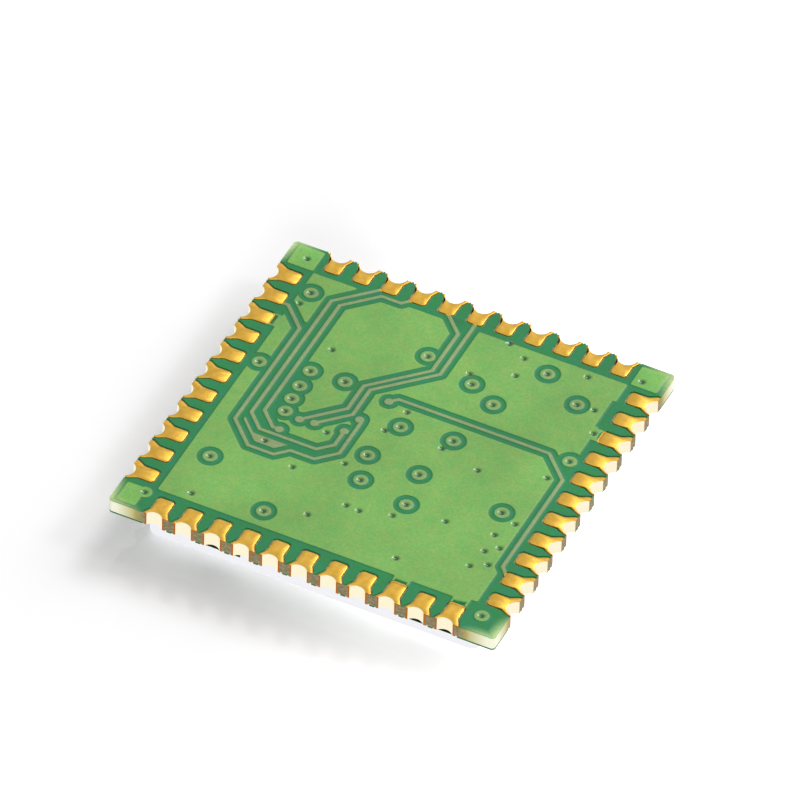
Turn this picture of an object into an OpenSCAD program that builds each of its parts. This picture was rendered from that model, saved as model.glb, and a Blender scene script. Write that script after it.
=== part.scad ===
// Surface-mount radio module with castellated edge contacts, lying on its shield can.
// X runs along the front edge, Y towards the back edge and Z up to the pad side, in millimetres.

/* [Board] */
// Length of the board along X
board_w = 11.96; // [11.6:0.02:13]
// Length of the board along Y
board_d = 11.8; // [11.5:0.1:13]
// Width by which the board stands past its contact frame on the left and on the right
side_strip = 0.08; // [0:0.01:0.1]
// Radius of the board's four corners
board_corner_r = 0.12; // [0.05:0.01:0.3]
// Thickness of the glass laminate
laminate_t = 0.38; // [0.3:0.01:0.8]
// Thickness of each outer copper layer
copper_t = 0.035; // [0.02:0.005:0.05]
// Thickness of the solder mask on top of the copper
mask_t = 0.02; // [0.012:0.002:0.03]
// Drop of the mask's face where there is no copper under it
mask_dip = 0.015; // [0.005:0.001:0.03]

/* [Edge contacts] */
// Distance from one contact to the next
contact_pitch = 0.9; // [0.86:0.01:0.94]
// Least distance from a corner of the board to the middle of its nearest contact
row_end_space = 1.2; // [1:0.05:1.35]
// Width of a land's neck
land_w = 0.49; // [0.4:0.01:0.58]
// Length of a land from the board's edge to its inner end
land_l = 0.73; // [0.6:0.01:0.85]
// Radius of a land's two inner corners
land_corner_r = 0.1; // [0.03:0.01:0.18]
// Width of a land where it meets the board's edge
land_flare_w = 0.76; // [0.72:0.01:0.8]
// Length over which a land widens towards the edge
land_flare_l = 0.25; // [0.2:0.01:0.45]
// Radius of the finished half-hole
half_hole_r = 0.29; // [0.27:0.01:0.33]
// Distance of the half-hole's centre outside the board's edge
half_hole_out = 0.1; // [0.08:0.01:0.14]
// Thickness of the plating in the half-holes
plating_t = 0.045; // [0.015:0.005:0.05]
// How far the drilling lies off the lands towards the left
drill_drift_x = 0.04; // [0:0.01:0.05]
// How far the drilling lies off the lands towards the front
drill_drift_y = 0.06; // [0:0.01:0.06]
// Width of the copper ring round a half-hole under the board
ring_w = 0.03; // [0.02:0.005:0.03]
// Width of bare laminate between a land and the mask
mask_clear = 0.05; // [0.02:0.005:0.055]

/* [Routing] */
// Width of a trace
trace_w = 0.11; // [0.08:0.01:0.14]
// Gap between a trace and the ground copper
trace_gap = 0.165; // [0.1:0.005:0.2]
// Gap between the lands and the ground copper
pour_gap = 0.24; // [0.15:0.01:0.3]
// Radius of the pad round a through via
via_pad_r = 0.215; // [0.18:0.005:0.24]
// Radius of the pad at a trace's end
end_pad_r = 0.13; // [0.1:0.005:0.16]
// Radius of a via's drilled hole
via_drill_r = 0.12; // [0.08:0.005:0.15]
// Thickness of the plating in a via
via_plating_t = 0.02; // [0.01:0.005:0.03]
// Depth of the dimple in the mask over a via
dimple_h = 0.045; // [0.02:0.005:0.05]

/* [Shield can] */
// Distance from the contact frame's edge in to the can's walls
can_inset = 0.75; // [0.65:0.05:0.95]
// Height of the can from its face to its rim
can_h = 1.15; // [1.1:0.05:2]
// Thickness of the can's sheet
can_t = 0.12; // [0.08:0.01:0.15]
// Inner radius of the bend round the can's face
can_bend_r = 0.03; // [0.02:0.01:0.15]
// Outer radius of the can's upright corners
can_corner_r = 0.3; // [0.3:0.01:0.5]
// Width of the slit beside each corner of the can
can_slit_w = 0.1; // [0.05:0.01:0.15]
// Depth of that slit from the can's rim
can_slit_h = 0.25; // [0.15:0.01:0.4]
// Height of a wall below its cut-outs
can_sill_h = 0.39; // [0.3:0.01:0.6]
// Thickness of the solder under the can's rim and under small parts
solder_t = 0.03; // [0.02:0.005:0.05]
// Width by which the solder stands out on each side of the can's wall
solder_out = 0.06; // [0.02:0.01:0.1]

/* [Chips] */
// Side of the baseband chip
baseband_side = 4.4; // [4:0.1:4.6]
// Height of the baseband chip's body
baseband_h = 0.55; // [0.4:0.05:0.6]
// Length of the memory chip along X
memory_w = 3.2; // [2.8:0.1:3.3]
// Length of the memory chip along Y
memory_d = 2.4; // [2:0.1:2.6]
// Height of the memory chip's body
memory_h = 0.5; // [0.4:0.05:0.6]
// Side of the power management chip
power_side = 2.2; // [1.8:0.1:2.3]
// Height of the power management chip's body
power_h = 0.4; // [0.3:0.05:0.5]
// Side of the transceiver chip
transceiver_side = 3; // [2.6:0.1:3]
// Height of the transceiver chip's body
transceiver_h = 0.55; // [0.4:0.05:0.7]
// Length of the power amplifier along X
amplifier_w = 2.4; // [2:0.1:2.4]
// Length of the power amplifier along Y
amplifier_d = 3; // [2.6:0.1:3]
// Height of the power amplifier's body
amplifier_h = 0.7; // [0.5:0.05:0.8]
// Distance between solder balls
ball_pitch = 0.5; // [0.45:0.01:0.6]
// Radius of a solder ball
ball_r = 0.13; // [0.1:0.01:0.16]
// Height of a soldered ball
ball_h = 0.18; // [0.12:0.01:0.22]
// Size of the crystal's ceramic base along X
crystal_w = 2; // [1.6:0.1:2]
// Size of the crystal's ceramic base along Y
crystal_d = 1.6; // [1.2:0.1:1.6]
// Height of the crystal's ceramic base
crystal_base_h = 0.35; // [0.25:0.05:0.4]
// Height of the crystal's metal lid
crystal_lid_h = 0.2; // [0.1:0.05:0.25]
// Margin of the ceramic base round the crystal's lid
crystal_rim_w = 0.12; // [0.08:0.01:0.2]
// Length of a surface-wave filter
filter_w = 1.1; // [0.9:0.05:1.1]
// Width of a surface-wave filter
filter_d = 0.9; // [0.7:0.05:0.9]
// Height of a surface-wave filter
filter_h = 0.45; // [0.3:0.05:0.6]

/* [Small parts] */
// Length of a power inductor
inductor_l = 1.6; // [1.4:0.1:1.6]
// Width of a power inductor
inductor_w = 0.8; // [0.6:0.05:0.8]
// Height of a power inductor
inductor_h = 0.7; // [0.5:0.05:0.85]
// Length of a capacitor
capacitor_l = 1; // [0.8:0.05:1]
// Width and height of a capacitor
capacitor_w = 0.5; // [0.4:0.02:0.5]
// Length of a resistor
resistor_l = 0.6; // [0.5:0.02:0.6]
// Width of a resistor
resistor_w = 0.3; // [0.24:0.02:0.3]
// Height of a resistor
resistor_h = 0.23; // [0.15:0.01:0.3]
// Thickness of a small part's wrapped terminal
terminal_t = 0.03; // [0.02:0.005:0.04]

/* [Hidden] */
$fn = 32;

// Levels, from the can's face up
rim_z = can_h;
parts_z = can_h + solder_t;
laminate_z = parts_z + copper_t;
copper_z = laminate_z + laminate_t;
pad_face_z = copper_z + copper_t;
mask_bare_t = copper_t + mask_t - mask_dip;

// Sizes that follow the ones above
frame_w = board_w - 2 * side_strip;
can_w = frame_w - 2 * can_inset;
can_d = board_d - 2 * can_inset;
drilled_r = half_hole_r + plating_t;
via_hole_r = via_drill_r - via_plating_t;
antipad_r = via_pad_r + trace_gap;
pour_margin = land_l + pour_gap;
route_w = trace_w + 2 * trace_gap;
cut = copper_t;

// Sides of the board: 0 is the front, 1 the right, 2 the back and 3 the left
// Lands that the ground copper runs into, each as its side and the share of that row that lies before it
grounded_land_shares = [[0, 0.8], [0, 1], [1, 0.8], [3, 0.2]];

// Places of the vias with a gap of their own, as shares of the board's half lengths
ringed_via_shares = [
    [0.465, 0.725], [0.68, 0.6], [0.175, 0.495], [0.325, 0.415], [-0.095, 0.57], [-0.785, 0.705],
    [-0.37, 0.23], [-0.55, 0.22], [-0.55, 0.105], [-0.545, 0.01], [-0.535, -0.08], [-0.795, 0.165],
    [0, 0.075], [0.265, 0.105], [0.815, 0.235], [-0.055, -0.17], [0.22, -0.175], [0.68, -0.225],
    [-0.01, -0.335], [0.255, -0.385], [-0.715, -0.52], [-0.325, -0.735], [0.895, -0.89]
];
// Places of the vias that stand in the ground copper and the corner patches
ground_via_shares = [
    [0.215, 0.83], [0.32, 0.77], [0.335, 0.645], [0.645, 0.795], [0.77, 0.605], [0.135, 0.555],
    [0.835, 0.46], [-0.52, 0.4], [-0.8, 0.615], [-0.905, 0.91], [0.89, 0.885],
    [-0.015, 0.18], [-0.055, 0.02], [0.24, 0.035], [0.77, 0.085], [0.455, -0.02],
    [-0.295, -0.12], [-0.53, -0.305], [-0.125, -0.27], [-0.335, -0.405], [0.23, -0.48],
    [0.47, -0.4], [0.77, -0.265], [0.715, -0.375], [0.775, -0.445], [0.72, -0.495],
    [0.775, -0.57], [0.7, -0.615], [0.005, -0.52], [0.075, -0.525], [-0.13, -0.66],
    [0.37, -0.73], [-0.68, -0.785], [-0.88, -0.88]
];
// Routes of the six traces from their end pads outwards, as shares of the board's half lengths
crossing_route_shares = [
    [-0.125, 0.205], [-0.09, 0.24], [0.705, 0.24], [0.84, 0.105], [0.84, -0.55]
];
upper_route_shares = [
    [-0.45, -0.1], [-0.28, 0.07], [-0.28, 0.245], [-0.035, 0.49], [-0.035, 0.775]
];
lower_route_shares = [
    [-0.375, -0.09], [-0.24, 0.045], [-0.24, 0.235], [0.01, 0.485], [0.01, 0.85]
];
outer_loop_shares = [
    [-0.195, 0.03], [-0.18, 0.015], [-0.18, -0.22], [-0.27, -0.31], [-0.395, -0.31], [-0.455, -0.37],
    [-0.59, -0.37], [-0.725, -0.235], [-0.725, 0.46], [-0.845, 0.58]
];
middle_loop_shares = [
    [-0.225, -0.075], [-0.225, -0.18], [-0.29, -0.245], [-0.59, -0.245], [-0.675, -0.16],
    [-0.675, 0.7]
];
inner_loop_shares = [
    [-0.505, -0.205], [-0.54, -0.205], [-0.625, -0.12], [-0.625, 0.69], [-0.475, 0.84], [-0.37, 0.84]
];
// Lines where the ground copper also stays away: by the stacked vias and in two narrow corners
keepout_shares = [
    [[-0.575, 0.22], [-0.575, -0.1]], [[-0.035, 0.775], [-0.035, 0.88]], [[0.835, 0.235], [0.835, 0.15]]
];

// Where the can's walls are cut away between their soldered feet, as shares of the can's half length
window_shares = [[-0.66, -0.43], [0.57, 0.89]];

// Places of the parts under the board, as shares of the board's half lengths
baseband_share = [-0.37, 0.37];
memory_share = [0.425, 0.54];
power_share = [-0.56, -0.32];
transceiver_share = [0.035, -0.49];
amplifier_share = [0.57, -0.46];
crystal_share = [0.56, 0.12];
filter_shares = [[0.165, 0.19], [0.165, -0.01]];
// Each small part's place, and whether it is turned to lie along Y
inductor_shares = [[-0.595, -0.66, 0], [-0.325, -0.67, 1]];
capacitor_shares = [
    [-0.68, -0.075, 0], [-0.47, -0.075, 0], [-0.26, -0.075, 0], [-0.055, -0.075, 0],
    [0.075, 0.42, 1], [0.075, 0.64, 1], [0.315, 0.1, 1], [0.315, -0.1, 1]
];
resistor_shares = [
    [-0.29, -0.19, 1], [-0.29, -0.32, 1], [-0.155, -0.18, 0], [-0.015, -0.18, 0], [0.12, -0.18, 0],
    [0.77, 0.41, 1], [0.77, 0.54, 1], [0.77, 0.68, 1]
];

function placed(s) = [s[0] * frame_w / 2, s[1] * board_d / 2];
function contact_count(length) = floor((length - 2 * row_end_space) / contact_pitch) + 1;
function row_half(length) = (contact_count(length) - 1) / 2 * contact_pitch;
function side_length(side) = side % 2 == 0 ? frame_w : board_d;
function edge_strip(side) = side % 2 == 0 ? 0 : side_strip;
function land_end(half) = half - land_l + land_corner_r;

// Place of the contact at a share of the row along a board edge of that length
function row_place(length, share) =
    round(share * (contact_count(length) - 1)) * contact_pitch - row_half(length);

// The point where a trace enters a land of the back row, off the land's middle by a share of its width
function back_entry(share, off_share) =
    [row_place(frame_w, share) + off_share * land_w, land_end(board_d / 2)];

// The six routes with their outer ends in the lands
crossing_route = concat([for (s = crossing_route_shares) placed(s)],
    [[land_end(frame_w / 2), row_place(board_d, 0.1) + land_w / 25]]);
upper_route = concat([for (s = upper_route_shares) placed(s)], [back_entry(0.4, 0)]);
lower_route = concat([for (s = lower_route_shares) placed(s)], [back_entry(0.5, 0.1)]);
outer_loop = concat([for (s = outer_loop_shares) placed(s)],
    [[-land_end(frame_w / 2), row_place(board_d, 0.9) - land_w / 3]]);
middle_loop = concat([for (s = middle_loop_shares) placed(s)], [back_entry(0.2, -0.3)]);
inner_loop = concat([for (s = inner_loop_shares) placed(s)], [back_entry(0.3, -0.2)]);
routes = [crossing_route, upper_route, lower_route, outer_loop, middle_loop, inner_loop];

// Corner patches: from the last land's flare out to near the board's corner
patch_edge = mask_clear * 2;
patch_inner_x = row_half(frame_w) + land_flare_w / 2 + patch_edge;
patch_inner_y = row_half(board_d) + land_flare_w / 2 + patch_edge;
corner_ring_share = [-0.88, -0.88];

// Shapes that several pieces share

// Rounded rectangle centred on the origin
module rounded_rect(w, d, r) {
    square([w - 2 * r, d], center = true);
    square([w, d - 2 * r], center = true);
    for (x = [-1, 1], y = [-1, 1])
        translate([x * (w / 2 - r), y * (d / 2 - r)]) circle(r);
}

// Moves a shape drawn with its edge along X and its inside at +Y to one side of the contact frame
module on_side(side) {
    half = side % 2 == 0 ? board_d / 2 : frame_w / 2;
    rotate(90 * side) translate([0, -half]) children();
}

// Repeats a shape at every contact of one side
module each_contact(side) {
    row = side_length(side);
    on_side(side)
        for (i = [0 : contact_count(row) - 1])
            translate([i * contact_pitch - row_half(row), 0]) children();
}

// Round holes of one side's contacts, whose centres lie outside the board's edge
module contact_holes(side, r) {
    translate([-drill_drift_x, -drill_drift_y])
        each_contact(side) translate([0, -half_hole_out - edge_strip(side)]) circle(r);
}

// Line of the given width through a list of points, with round corners and ends
module route_line(points, width) {
    for (i = [0 : len(points) - 2]) {
        step = points[i + 1] - points[i];
        translate(points[i]) rotate(atan2(step[1], step[0]))
            translate([0, -width / 2]) square([norm(step), width]);
    }
    for (p = points) translate(p) circle(width / 2);
}

// Land of one contact, grown on all sides by a margin
module land_shape(margin) {
    half = land_w / 2 + margin;
    end = land_l + margin;
    round_r = land_corner_r + margin;
    translate([-half, 0]) square([2 * half, end - round_r]);
    translate([round_r - half, 0]) square([2 * (half - round_r), end]);
    for (x = [-1, 1]) translate([x * (half - round_r), end - round_r]) circle(round_r);
    edge_half = land_flare_w / 2 + margin;
    reach = side_strip + cut;
    polygon([[-edge_half, -reach], [edge_half, -reach], [edge_half, 0], [half, land_flare_l],
        [-half, land_flare_l], [-edge_half, 0]]);
}

// Repeats a shape at every via of a table
module via_places(shares) {
    for (s = shares) translate(placed(s)) children();
}

// Drilled holes of all through vias
module via_drills() {
    via_places(ringed_via_shares) circle(via_drill_r);
    via_places(ground_via_shares) circle(via_drill_r);
}

module board_outline() {
    rounded_rect(board_w, board_d, board_corner_r);
}

// Copper patches in three corners and the ring in the fourth
module corner_copper() {
    outer_x = frame_w / 2 - patch_edge;
    outer_y = board_d / 2 - patch_edge;
    side_x = outer_x - patch_inner_x;
    side_y = outer_y - patch_inner_y;
    translate([-outer_x, patch_inner_y]) square([side_x, side_y]);
    translate([patch_inner_x, patch_inner_y]) square([side_x, side_y]);
    translate([-outer_x, -outer_y]) square([side_x - via_pad_r, side_y - patch_edge / 2]);
    translate(placed(corner_ring_share)) circle(via_pad_r);
}

// Ground copper with its gaps round the traces and the ringed vias
module ground_pour() {
    pour_w = frame_w - 2 * pour_margin;
    pour_d = board_d - 2 * pour_margin;
    notch_w = trace_w;
    difference() {
        union() {
            square([pour_w, pour_d], center = true);
            for (g = grounded_land_shares)
                on_side(g[0]) translate([row_place(side_length(g[0]), g[1]) - land_w / 2, land_l / 2])
                    square([land_w, pour_margin]);
        }
        for (r = routes) route_line(r, route_w);
        for (r = routes) translate(r[0]) circle(end_pad_r + trace_gap);
        via_places(ringed_via_shares) circle(antipad_r);
        for (k = keepout_shares) route_line([for (s = k) placed(s)], route_w / 2);
        translate([pour_w / 2 - notch_w, row_place(board_d, 0.8) + (land_w + trace_w) / 2])
            square([2 * notch_w, contact_pitch + land_w / 2]);
        translate([row_half(frame_w) + land_w / 2, -board_d / 2]) square(pour_margin + trace_w);
    }
}

// All copper of the pad side apart from the contacts' own lands
module pad_side_pattern() {
    difference() {
        union() {
            ground_pour();
            for (r = routes) route_line(r, trace_w);
            for (r = routes) translate(r[0]) circle(end_pad_r);
            via_places(ringed_via_shares) circle(via_pad_r);
            corner_copper();
        }
        for (side = [0 : 3]) each_contact(side) land_shape(0);
        via_drills();
    }
}

module laminate_core() {
    color("#d9cf9a") translate([0, 0, laminate_z]) linear_extrude(laminate_t)
        difference() {
            board_outline();
            for (side = [0 : 3]) contact_holes(side, drilled_r);
            via_drills();
        }
}

module pad_side_copper() {
    color("#c8793a") translate([0, 0, copper_z]) linear_extrude(copper_t) pad_side_pattern();
}

// Area that the pad side's mask covers
module masked_area() {
    difference() {
        board_outline();
        for (side = [0 : 3]) {
            each_contact(side) land_shape(mask_clear);
            contact_holes(side, drilled_r);
        }
    }
}

// Mask that runs level over the copper, dips beside it and sags into the vias
module pad_side_mask() {
    dimple_r = via_drill_r;
    ball = (dimple_r * dimple_r + dimple_h * dimple_h) / (2 * dimple_h);
    plug_h = 2 * copper_t;
    color("#4f9a4c") difference() {
        union() {
            translate([0, 0, copper_z]) linear_extrude(mask_bare_t)
                difference() {
                    masked_area();
                    pad_side_pattern();
                    via_drills();
                }
            translate([0, 0, pad_face_z]) linear_extrude(mask_t)
                intersection() {
                    masked_area();
                    union() {
                        pad_side_pattern();
                        via_drills();
                    }
                }
            translate([0, 0, copper_z - plug_h]) linear_extrude(plug_h + copper_t) {
                via_places(ringed_via_shares) circle(via_hole_r);
                via_places(ground_via_shares) circle(via_hole_r);
            }
        }
        translate([0, 0, pad_face_z + mask_t + ball - dimple_h]) {
            via_places(ringed_via_shares) sphere(ball);
            via_places(ground_via_shares) sphere(ball);
        }
    }
}

// The plated contacts of one side: pad-side lands, half barrels and component-side rings
module plated_contacts(side) {
    length = side_length(side);
    difference() {
        union() {
            translate([0, 0, copper_z]) linear_extrude(copper_t) each_contact(side) land_shape(0);
            translate([0, 0, parts_z]) linear_extrude(copper_t) contact_holes(side, drilled_r + ring_w);
            translate([0, 0, parts_z]) linear_extrude(pad_face_z - parts_z) contact_holes(side, drilled_r);
        }
        translate([0, 0, parts_z - cut]) linear_extrude(pad_face_z - parts_z + 2 * cut) {
            contact_holes(side, half_hole_r);
            on_side(side) translate([-length / 2, -contact_pitch - edge_strip(side)])
                square([length, contact_pitch]);
        }
    }
}

module front_contacts() {
    color("#d8a83f") plated_contacts(0);
}

module right_contacts() {
    color("#d8a83f") plated_contacts(1);
}

module back_contacts() {
    color("#d8a83f") plated_contacts(2);
}

module left_contacts() {
    color("#d8a83f") plated_contacts(3);
}

// Plated tubes of the vias, from the component-side copper to the pad-side copper
module via_barrels() {
    color("#c8793a") translate([0, 0, parts_z]) linear_extrude(pad_face_z - parts_z) {
        via_places(ringed_via_shares) difference() {
            circle(via_drill_r);
            circle(via_hole_r);
        }
        via_places(ground_via_shares) difference() {
            circle(via_drill_r);
            circle(via_hole_r);
        }
    }
}

// Rounded tray: upright corners of one radius and a bottom edge of another
module tray(w, d, h, corner_r, bend_r) {
    translate([0, 0, bend_r]) linear_extrude(h - bend_r) rounded_rect(w, d, corner_r);
    linear_extrude(bend_r) rounded_rect(w - 2 * bend_r, d - 2 * bend_r, corner_r - bend_r);
    for (y = [-1, 1])
        translate([corner_r - w / 2, y * (d / 2 - bend_r), bend_r]) rotate([0, 90, 0])
            cylinder(r = bend_r, h = w - 2 * corner_r);
    for (x = [-1, 1])
        translate([x * (w / 2 - bend_r), corner_r - d / 2, bend_r]) rotate([-90, 0, 0])
            cylinder(r = bend_r, h = d - 2 * corner_r);
    for (x = [-1, 1], y = [-1, 1])
        translate([x * (w / 2 - corner_r), y * (d / 2 - corner_r), bend_r]) rotate_extrude()
            intersection() {
                translate([corner_r - bend_r, 0]) circle(bend_r);
                translate([0, -bend_r]) square([corner_r, 2 * bend_r]);
            }
}

// Cut-outs of the can's four walls, wide enough to pass through a wall
module can_windows() {
    for (side = [0 : 3]) {
        half = side % 2 == 0 ? can_d / 2 : can_w / 2;
        length = side % 2 == 0 ? can_w / 2 : can_d / 2;
        for (s = window_shares)
            rotate(90 * side) translate([s[0] * length, -half - solder_out])
                square([(s[1] - s[0]) * length, can_t + 2 * solder_out]);
    }
}

// Corner slits of the can's four walls
module can_slits() {
    for (side = [0 : 3]) {
        half = side % 2 == 0 ? can_d / 2 : can_w / 2;
        length = side % 2 == 0 ? can_w / 2 : can_d / 2;
        rotate(90 * side) translate([length - can_corner_r, -half - solder_out])
            square([can_slit_w, can_t + 2 * solder_out]);
    }
}

// Can folded from one sheet, open towards the board
module shield_can() {
    color("#e6e6e8") difference() {
        tray(can_w, can_d, rim_z, can_corner_r, can_bend_r + can_t);
        translate([0, 0, can_t])
            tray(can_w - 2 * can_t, can_d - 2 * can_t, rim_z, can_corner_r - can_t, can_bend_r);
        translate([0, 0, can_sill_h]) linear_extrude(rim_z) can_windows();
        translate([0, 0, rim_z - can_slit_h]) linear_extrude(rim_z) can_slits();
    }
}

// Solder between the can's feet and the frame of copper above them
module shield_solder() {
    color("#c9ccd0") translate([0, 0, rim_z]) linear_extrude(solder_t)
        difference() {
            rounded_rect(can_w + 2 * solder_out, can_d + 2 * solder_out, can_corner_r + solder_out);
            inner = can_t + solder_out;
            rounded_rect(can_w - 2 * inner, can_d - 2 * inner, solder_out);
            can_windows();
            can_slits();
        }
}

// Block hanging under the board, its top at a level below the component-side copper
module hung_block(share, w, d, h, drop) {
    translate([0, 0, parts_z - drop - h]) translate(placed(share)) linear_extrude(h)
        square([w, d], center = true);
}

// Places of a square field of balls or pads under a chip
module ball_field(share, w, d) {
    columns = floor(w / ball_pitch) - 1;
    rows = floor(d / ball_pitch) - 1;
    translate(placed(share))
        for (i = [0 : columns - 1], j = [0 : rows - 1])
            translate([(i - (columns - 1) / 2) * ball_pitch, (j - (rows - 1) / 2) * ball_pitch]) children();
}

// Barrel-shaped solder balls of one chip
module solder_balls(share, w, d) {
    neck_r = ball_r * 0.8;
    translate([0, 0, parts_z - ball_h]) ball_field(share, w, d) rotate_extrude()
        polygon([[0, 0], [neck_r, 0], [ball_r, ball_h / 3],
            [ball_r, ball_h * 2 / 3], [neck_r, ball_h], [0, ball_h]]);
}

// Places of the lands round the underside of a leadless part, and its middle pad
module rim_pads(share, w, d) {
    pad = ball_pitch * 0.6;
    columns = floor(w / ball_pitch) - 1;
    rows = floor(d / ball_pitch) - 1;
    translate(placed(share)) {
        for (i = [0 : columns - 1], y = [-1, 1])
            translate([(i - (columns - 1) / 2) * ball_pitch, y * (d / 2 - pad * 0.6)])
                square([pad * 0.8, pad], center = true);
        for (j = [0 : rows - 1], x = [-1, 1])
            translate([x * (w / 2 - pad * 0.6), (j - (rows - 1) / 2) * ball_pitch])
                square([pad, pad * 0.8], center = true);
        square([w - 4 * pad, d - 4 * pad], center = true);
    }
}

// Four corner lands of a crystal or a filter
module corner_pads(share, w, d) {
    pad_share = 0.3;
    translate(placed(share))
        for (x = [-1, 1], y = [-1, 1])
            translate([x * w * (1 - pad_share) / 2, y * d * (1 - pad_share) / 2])
                square([w * pad_share, d * pad_share], center = true);
}

// Puts a small part at each of its places
module small_places(shares) {
    for (s = shares) translate(placed(s)) rotate(90 * s[2]) children();
}

// Two end lands of a small part
module end_pads(l, w) {
    end_share = 0.25;
    for (x = [-1, 1]) translate([x * l * (1 - end_share) / 2, 0])
        square([l * end_share, w], center = true);
}

// Body of a small part, inside its wrapped terminals
module small_body(l, w, h) {
    translate([0, 0, parts_z - solder_t - h + terminal_t]) linear_extrude(h - 2 * terminal_t)
        square([l - 2 * terminal_t, w - 2 * terminal_t], center = true);
}

// Terminals wrapped round both ends of a small part
module small_terminals(l, w, h) {
    difference() {
        translate([0, 0, parts_z - solder_t - h]) linear_extrude(h) end_pads(l, w);
        small_body(l, w, h);
    }
}

// Copper, solder and mask openings under the board take these same places
module component_lands() {
    ball_field(baseband_share, baseband_side, baseband_side) circle(ball_r * 0.8);
    ball_field(memory_share, memory_w, memory_d) circle(ball_r * 0.8);
    ball_field(power_share, power_side, power_side) circle(ball_r * 0.8);
    rim_pads(transceiver_share, transceiver_side, transceiver_side);
    rim_pads(amplifier_share, amplifier_w, amplifier_d);
    corner_pads(crystal_share, crystal_w, crystal_d);
    for (s = filter_shares) corner_pads(s, filter_w, filter_d);
    small_places(inductor_shares) end_pads(inductor_l, inductor_w);
    small_places(capacitor_shares) end_pads(capacitor_l, capacitor_w);
    small_places(resistor_shares) end_pads(resistor_l, resistor_w);
}

// Frame of copper that the can is soldered to
module can_frame(margin) {
    difference() {
        rounded_rect(can_w + 2 * (solder_out + margin), can_d + 2 * (solder_out + margin), can_corner_r);
        inner = can_t + solder_out + margin;
        rounded_rect(can_w - 2 * inner, can_d - 2 * inner, solder_out);
    }
}

// Windows in the component-side mask, one over each part's group of lands
module component_openings() {
    field = ball_pitch / 3;
    translate(placed(baseband_share)) square(baseband_side - field, center = true);
    translate(placed(memory_share)) square([memory_w - field, memory_d - field], center = true);
    translate(placed(power_share)) square(power_side - field, center = true);
    translate(placed(transceiver_share)) square(transceiver_side + field, center = true);
    translate(placed(amplifier_share)) square([amplifier_w + field, amplifier_d + field], center = true);
    translate(placed(crystal_share)) square([crystal_w, crystal_d], center = true);
    for (s = filter_shares) translate(placed(s)) square([filter_w, filter_d], center = true);
    small_places(inductor_shares) square([inductor_l, inductor_w], center = true);
    small_places(capacitor_shares) square([capacitor_l, capacitor_w], center = true);
    small_places(resistor_shares) square([resistor_l, resistor_w], center = true);
}

// All copper under the board apart from the contacts' own rings
module component_side_pattern() {
    ring_r = via_drill_r * 1.5;
    difference() {
        union() {
            can_frame(0);
            component_lands();
            via_places(ringed_via_shares) circle(ring_r);
            via_places(ground_via_shares) circle(ring_r);
        }
        via_drills();
    }
}

module component_side_copper() {
    color("#c8793a") translate([0, 0, parts_z]) linear_extrude(copper_t) component_side_pattern();
}

// Area that the component side's mask covers
module component_masked_area() {
    difference() {
        board_outline();
        can_frame(mask_clear);
        component_openings();
        for (side = [0 : 3]) contact_holes(side, drilled_r + ring_w + mask_clear);
    }
}

// Mask under the board, level over its copper and its vias
module component_side_mask() {
    color("#2f7d4a") {
        translate([0, 0, parts_z - mask_t]) linear_extrude(mask_t) component_masked_area();
        translate([0, 0, parts_z]) linear_extrude(copper_t)
            difference() {
                component_masked_area();
                component_side_pattern();
                via_drills();
            }
    }
}

module baseband_chip() {
    color("#2b2b2e") hung_block(baseband_share, baseband_side, baseband_side, baseband_h, ball_h);
}

module baseband_balls() {
    color("#b9bcc2") solder_balls(baseband_share, baseband_side, baseband_side);
}

module memory_chip() {
    color("#2b2b2e") hung_block(memory_share, memory_w, memory_d, memory_h, ball_h);
}

module memory_balls() {
    color("#b9bcc2") solder_balls(memory_share, memory_w, memory_d);
}

module power_management_chip() {
    color("#3a3a40") hung_block(power_share, power_side, power_side, power_h, ball_h);
}

module power_management_balls() {
    color("#b9bcc2") solder_balls(power_share, power_side, power_side);
}

module transceiver_chip() {
    color("#2b2b2e")
        hung_block(transceiver_share, transceiver_side, transceiver_side, transceiver_h, solder_t);
}

module transceiver_pads() {
    color("#b9bcc2") translate([0, 0, parts_z - solder_t]) linear_extrude(solder_t)
        rim_pads(transceiver_share, transceiver_side, transceiver_side);
}

module power_amplifier() {
    color("#26262a") hung_block(amplifier_share, amplifier_w, amplifier_d, amplifier_h, solder_t);
}

module power_amplifier_pads() {
    color("#b9bcc2") translate([0, 0, parts_z - solder_t]) linear_extrude(solder_t)
        rim_pads(amplifier_share, amplifier_w, amplifier_d);
}

module crystal_base() {
    color("#5b5148") hung_block(crystal_share, crystal_w, crystal_d, crystal_base_h, solder_t);
}

module crystal_lid() {
    color("#d3c9a8") hung_block(crystal_share, crystal_w - 2 * crystal_rim_w, crystal_d - 2 * crystal_rim_w,
        crystal_lid_h, solder_t + crystal_base_h);
}

module surface_wave_filters() {
    color("#cfcac0") for (s = filter_shares) hung_block(s, filter_w, filter_d, filter_h, solder_t);
}

module crystal_and_filter_pads() {
    color("#b9bcc2") translate([0, 0, parts_z - solder_t]) linear_extrude(solder_t) {
        corner_pads(crystal_share, crystal_w, crystal_d);
        for (s = filter_shares) corner_pads(s, filter_w, filter_d);
    }
}

module inductor_bodies() {
    color("#4a4a4c") small_places(inductor_shares) small_body(inductor_l, inductor_w, inductor_h);
}

module inductor_terminals() {
    color("#d0d0d2") small_places(inductor_shares) small_terminals(inductor_l, inductor_w, inductor_h);
}

module capacitor_bodies() {
    color("#a98a62") small_places(capacitor_shares) small_body(capacitor_l, capacitor_w, capacitor_w);
}

module capacitor_terminals() {
    color("#d0d0d2") small_places(capacitor_shares) small_terminals(capacitor_l, capacitor_w, capacitor_w);
}

module resistor_bodies() {
    color("#26262a") small_places(resistor_shares) small_body(resistor_l, resistor_w, resistor_h);
}

module resistor_terminals() {
    color("#d0d0d2") small_places(resistor_shares) small_terminals(resistor_l, resistor_w, resistor_h);
}

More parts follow.
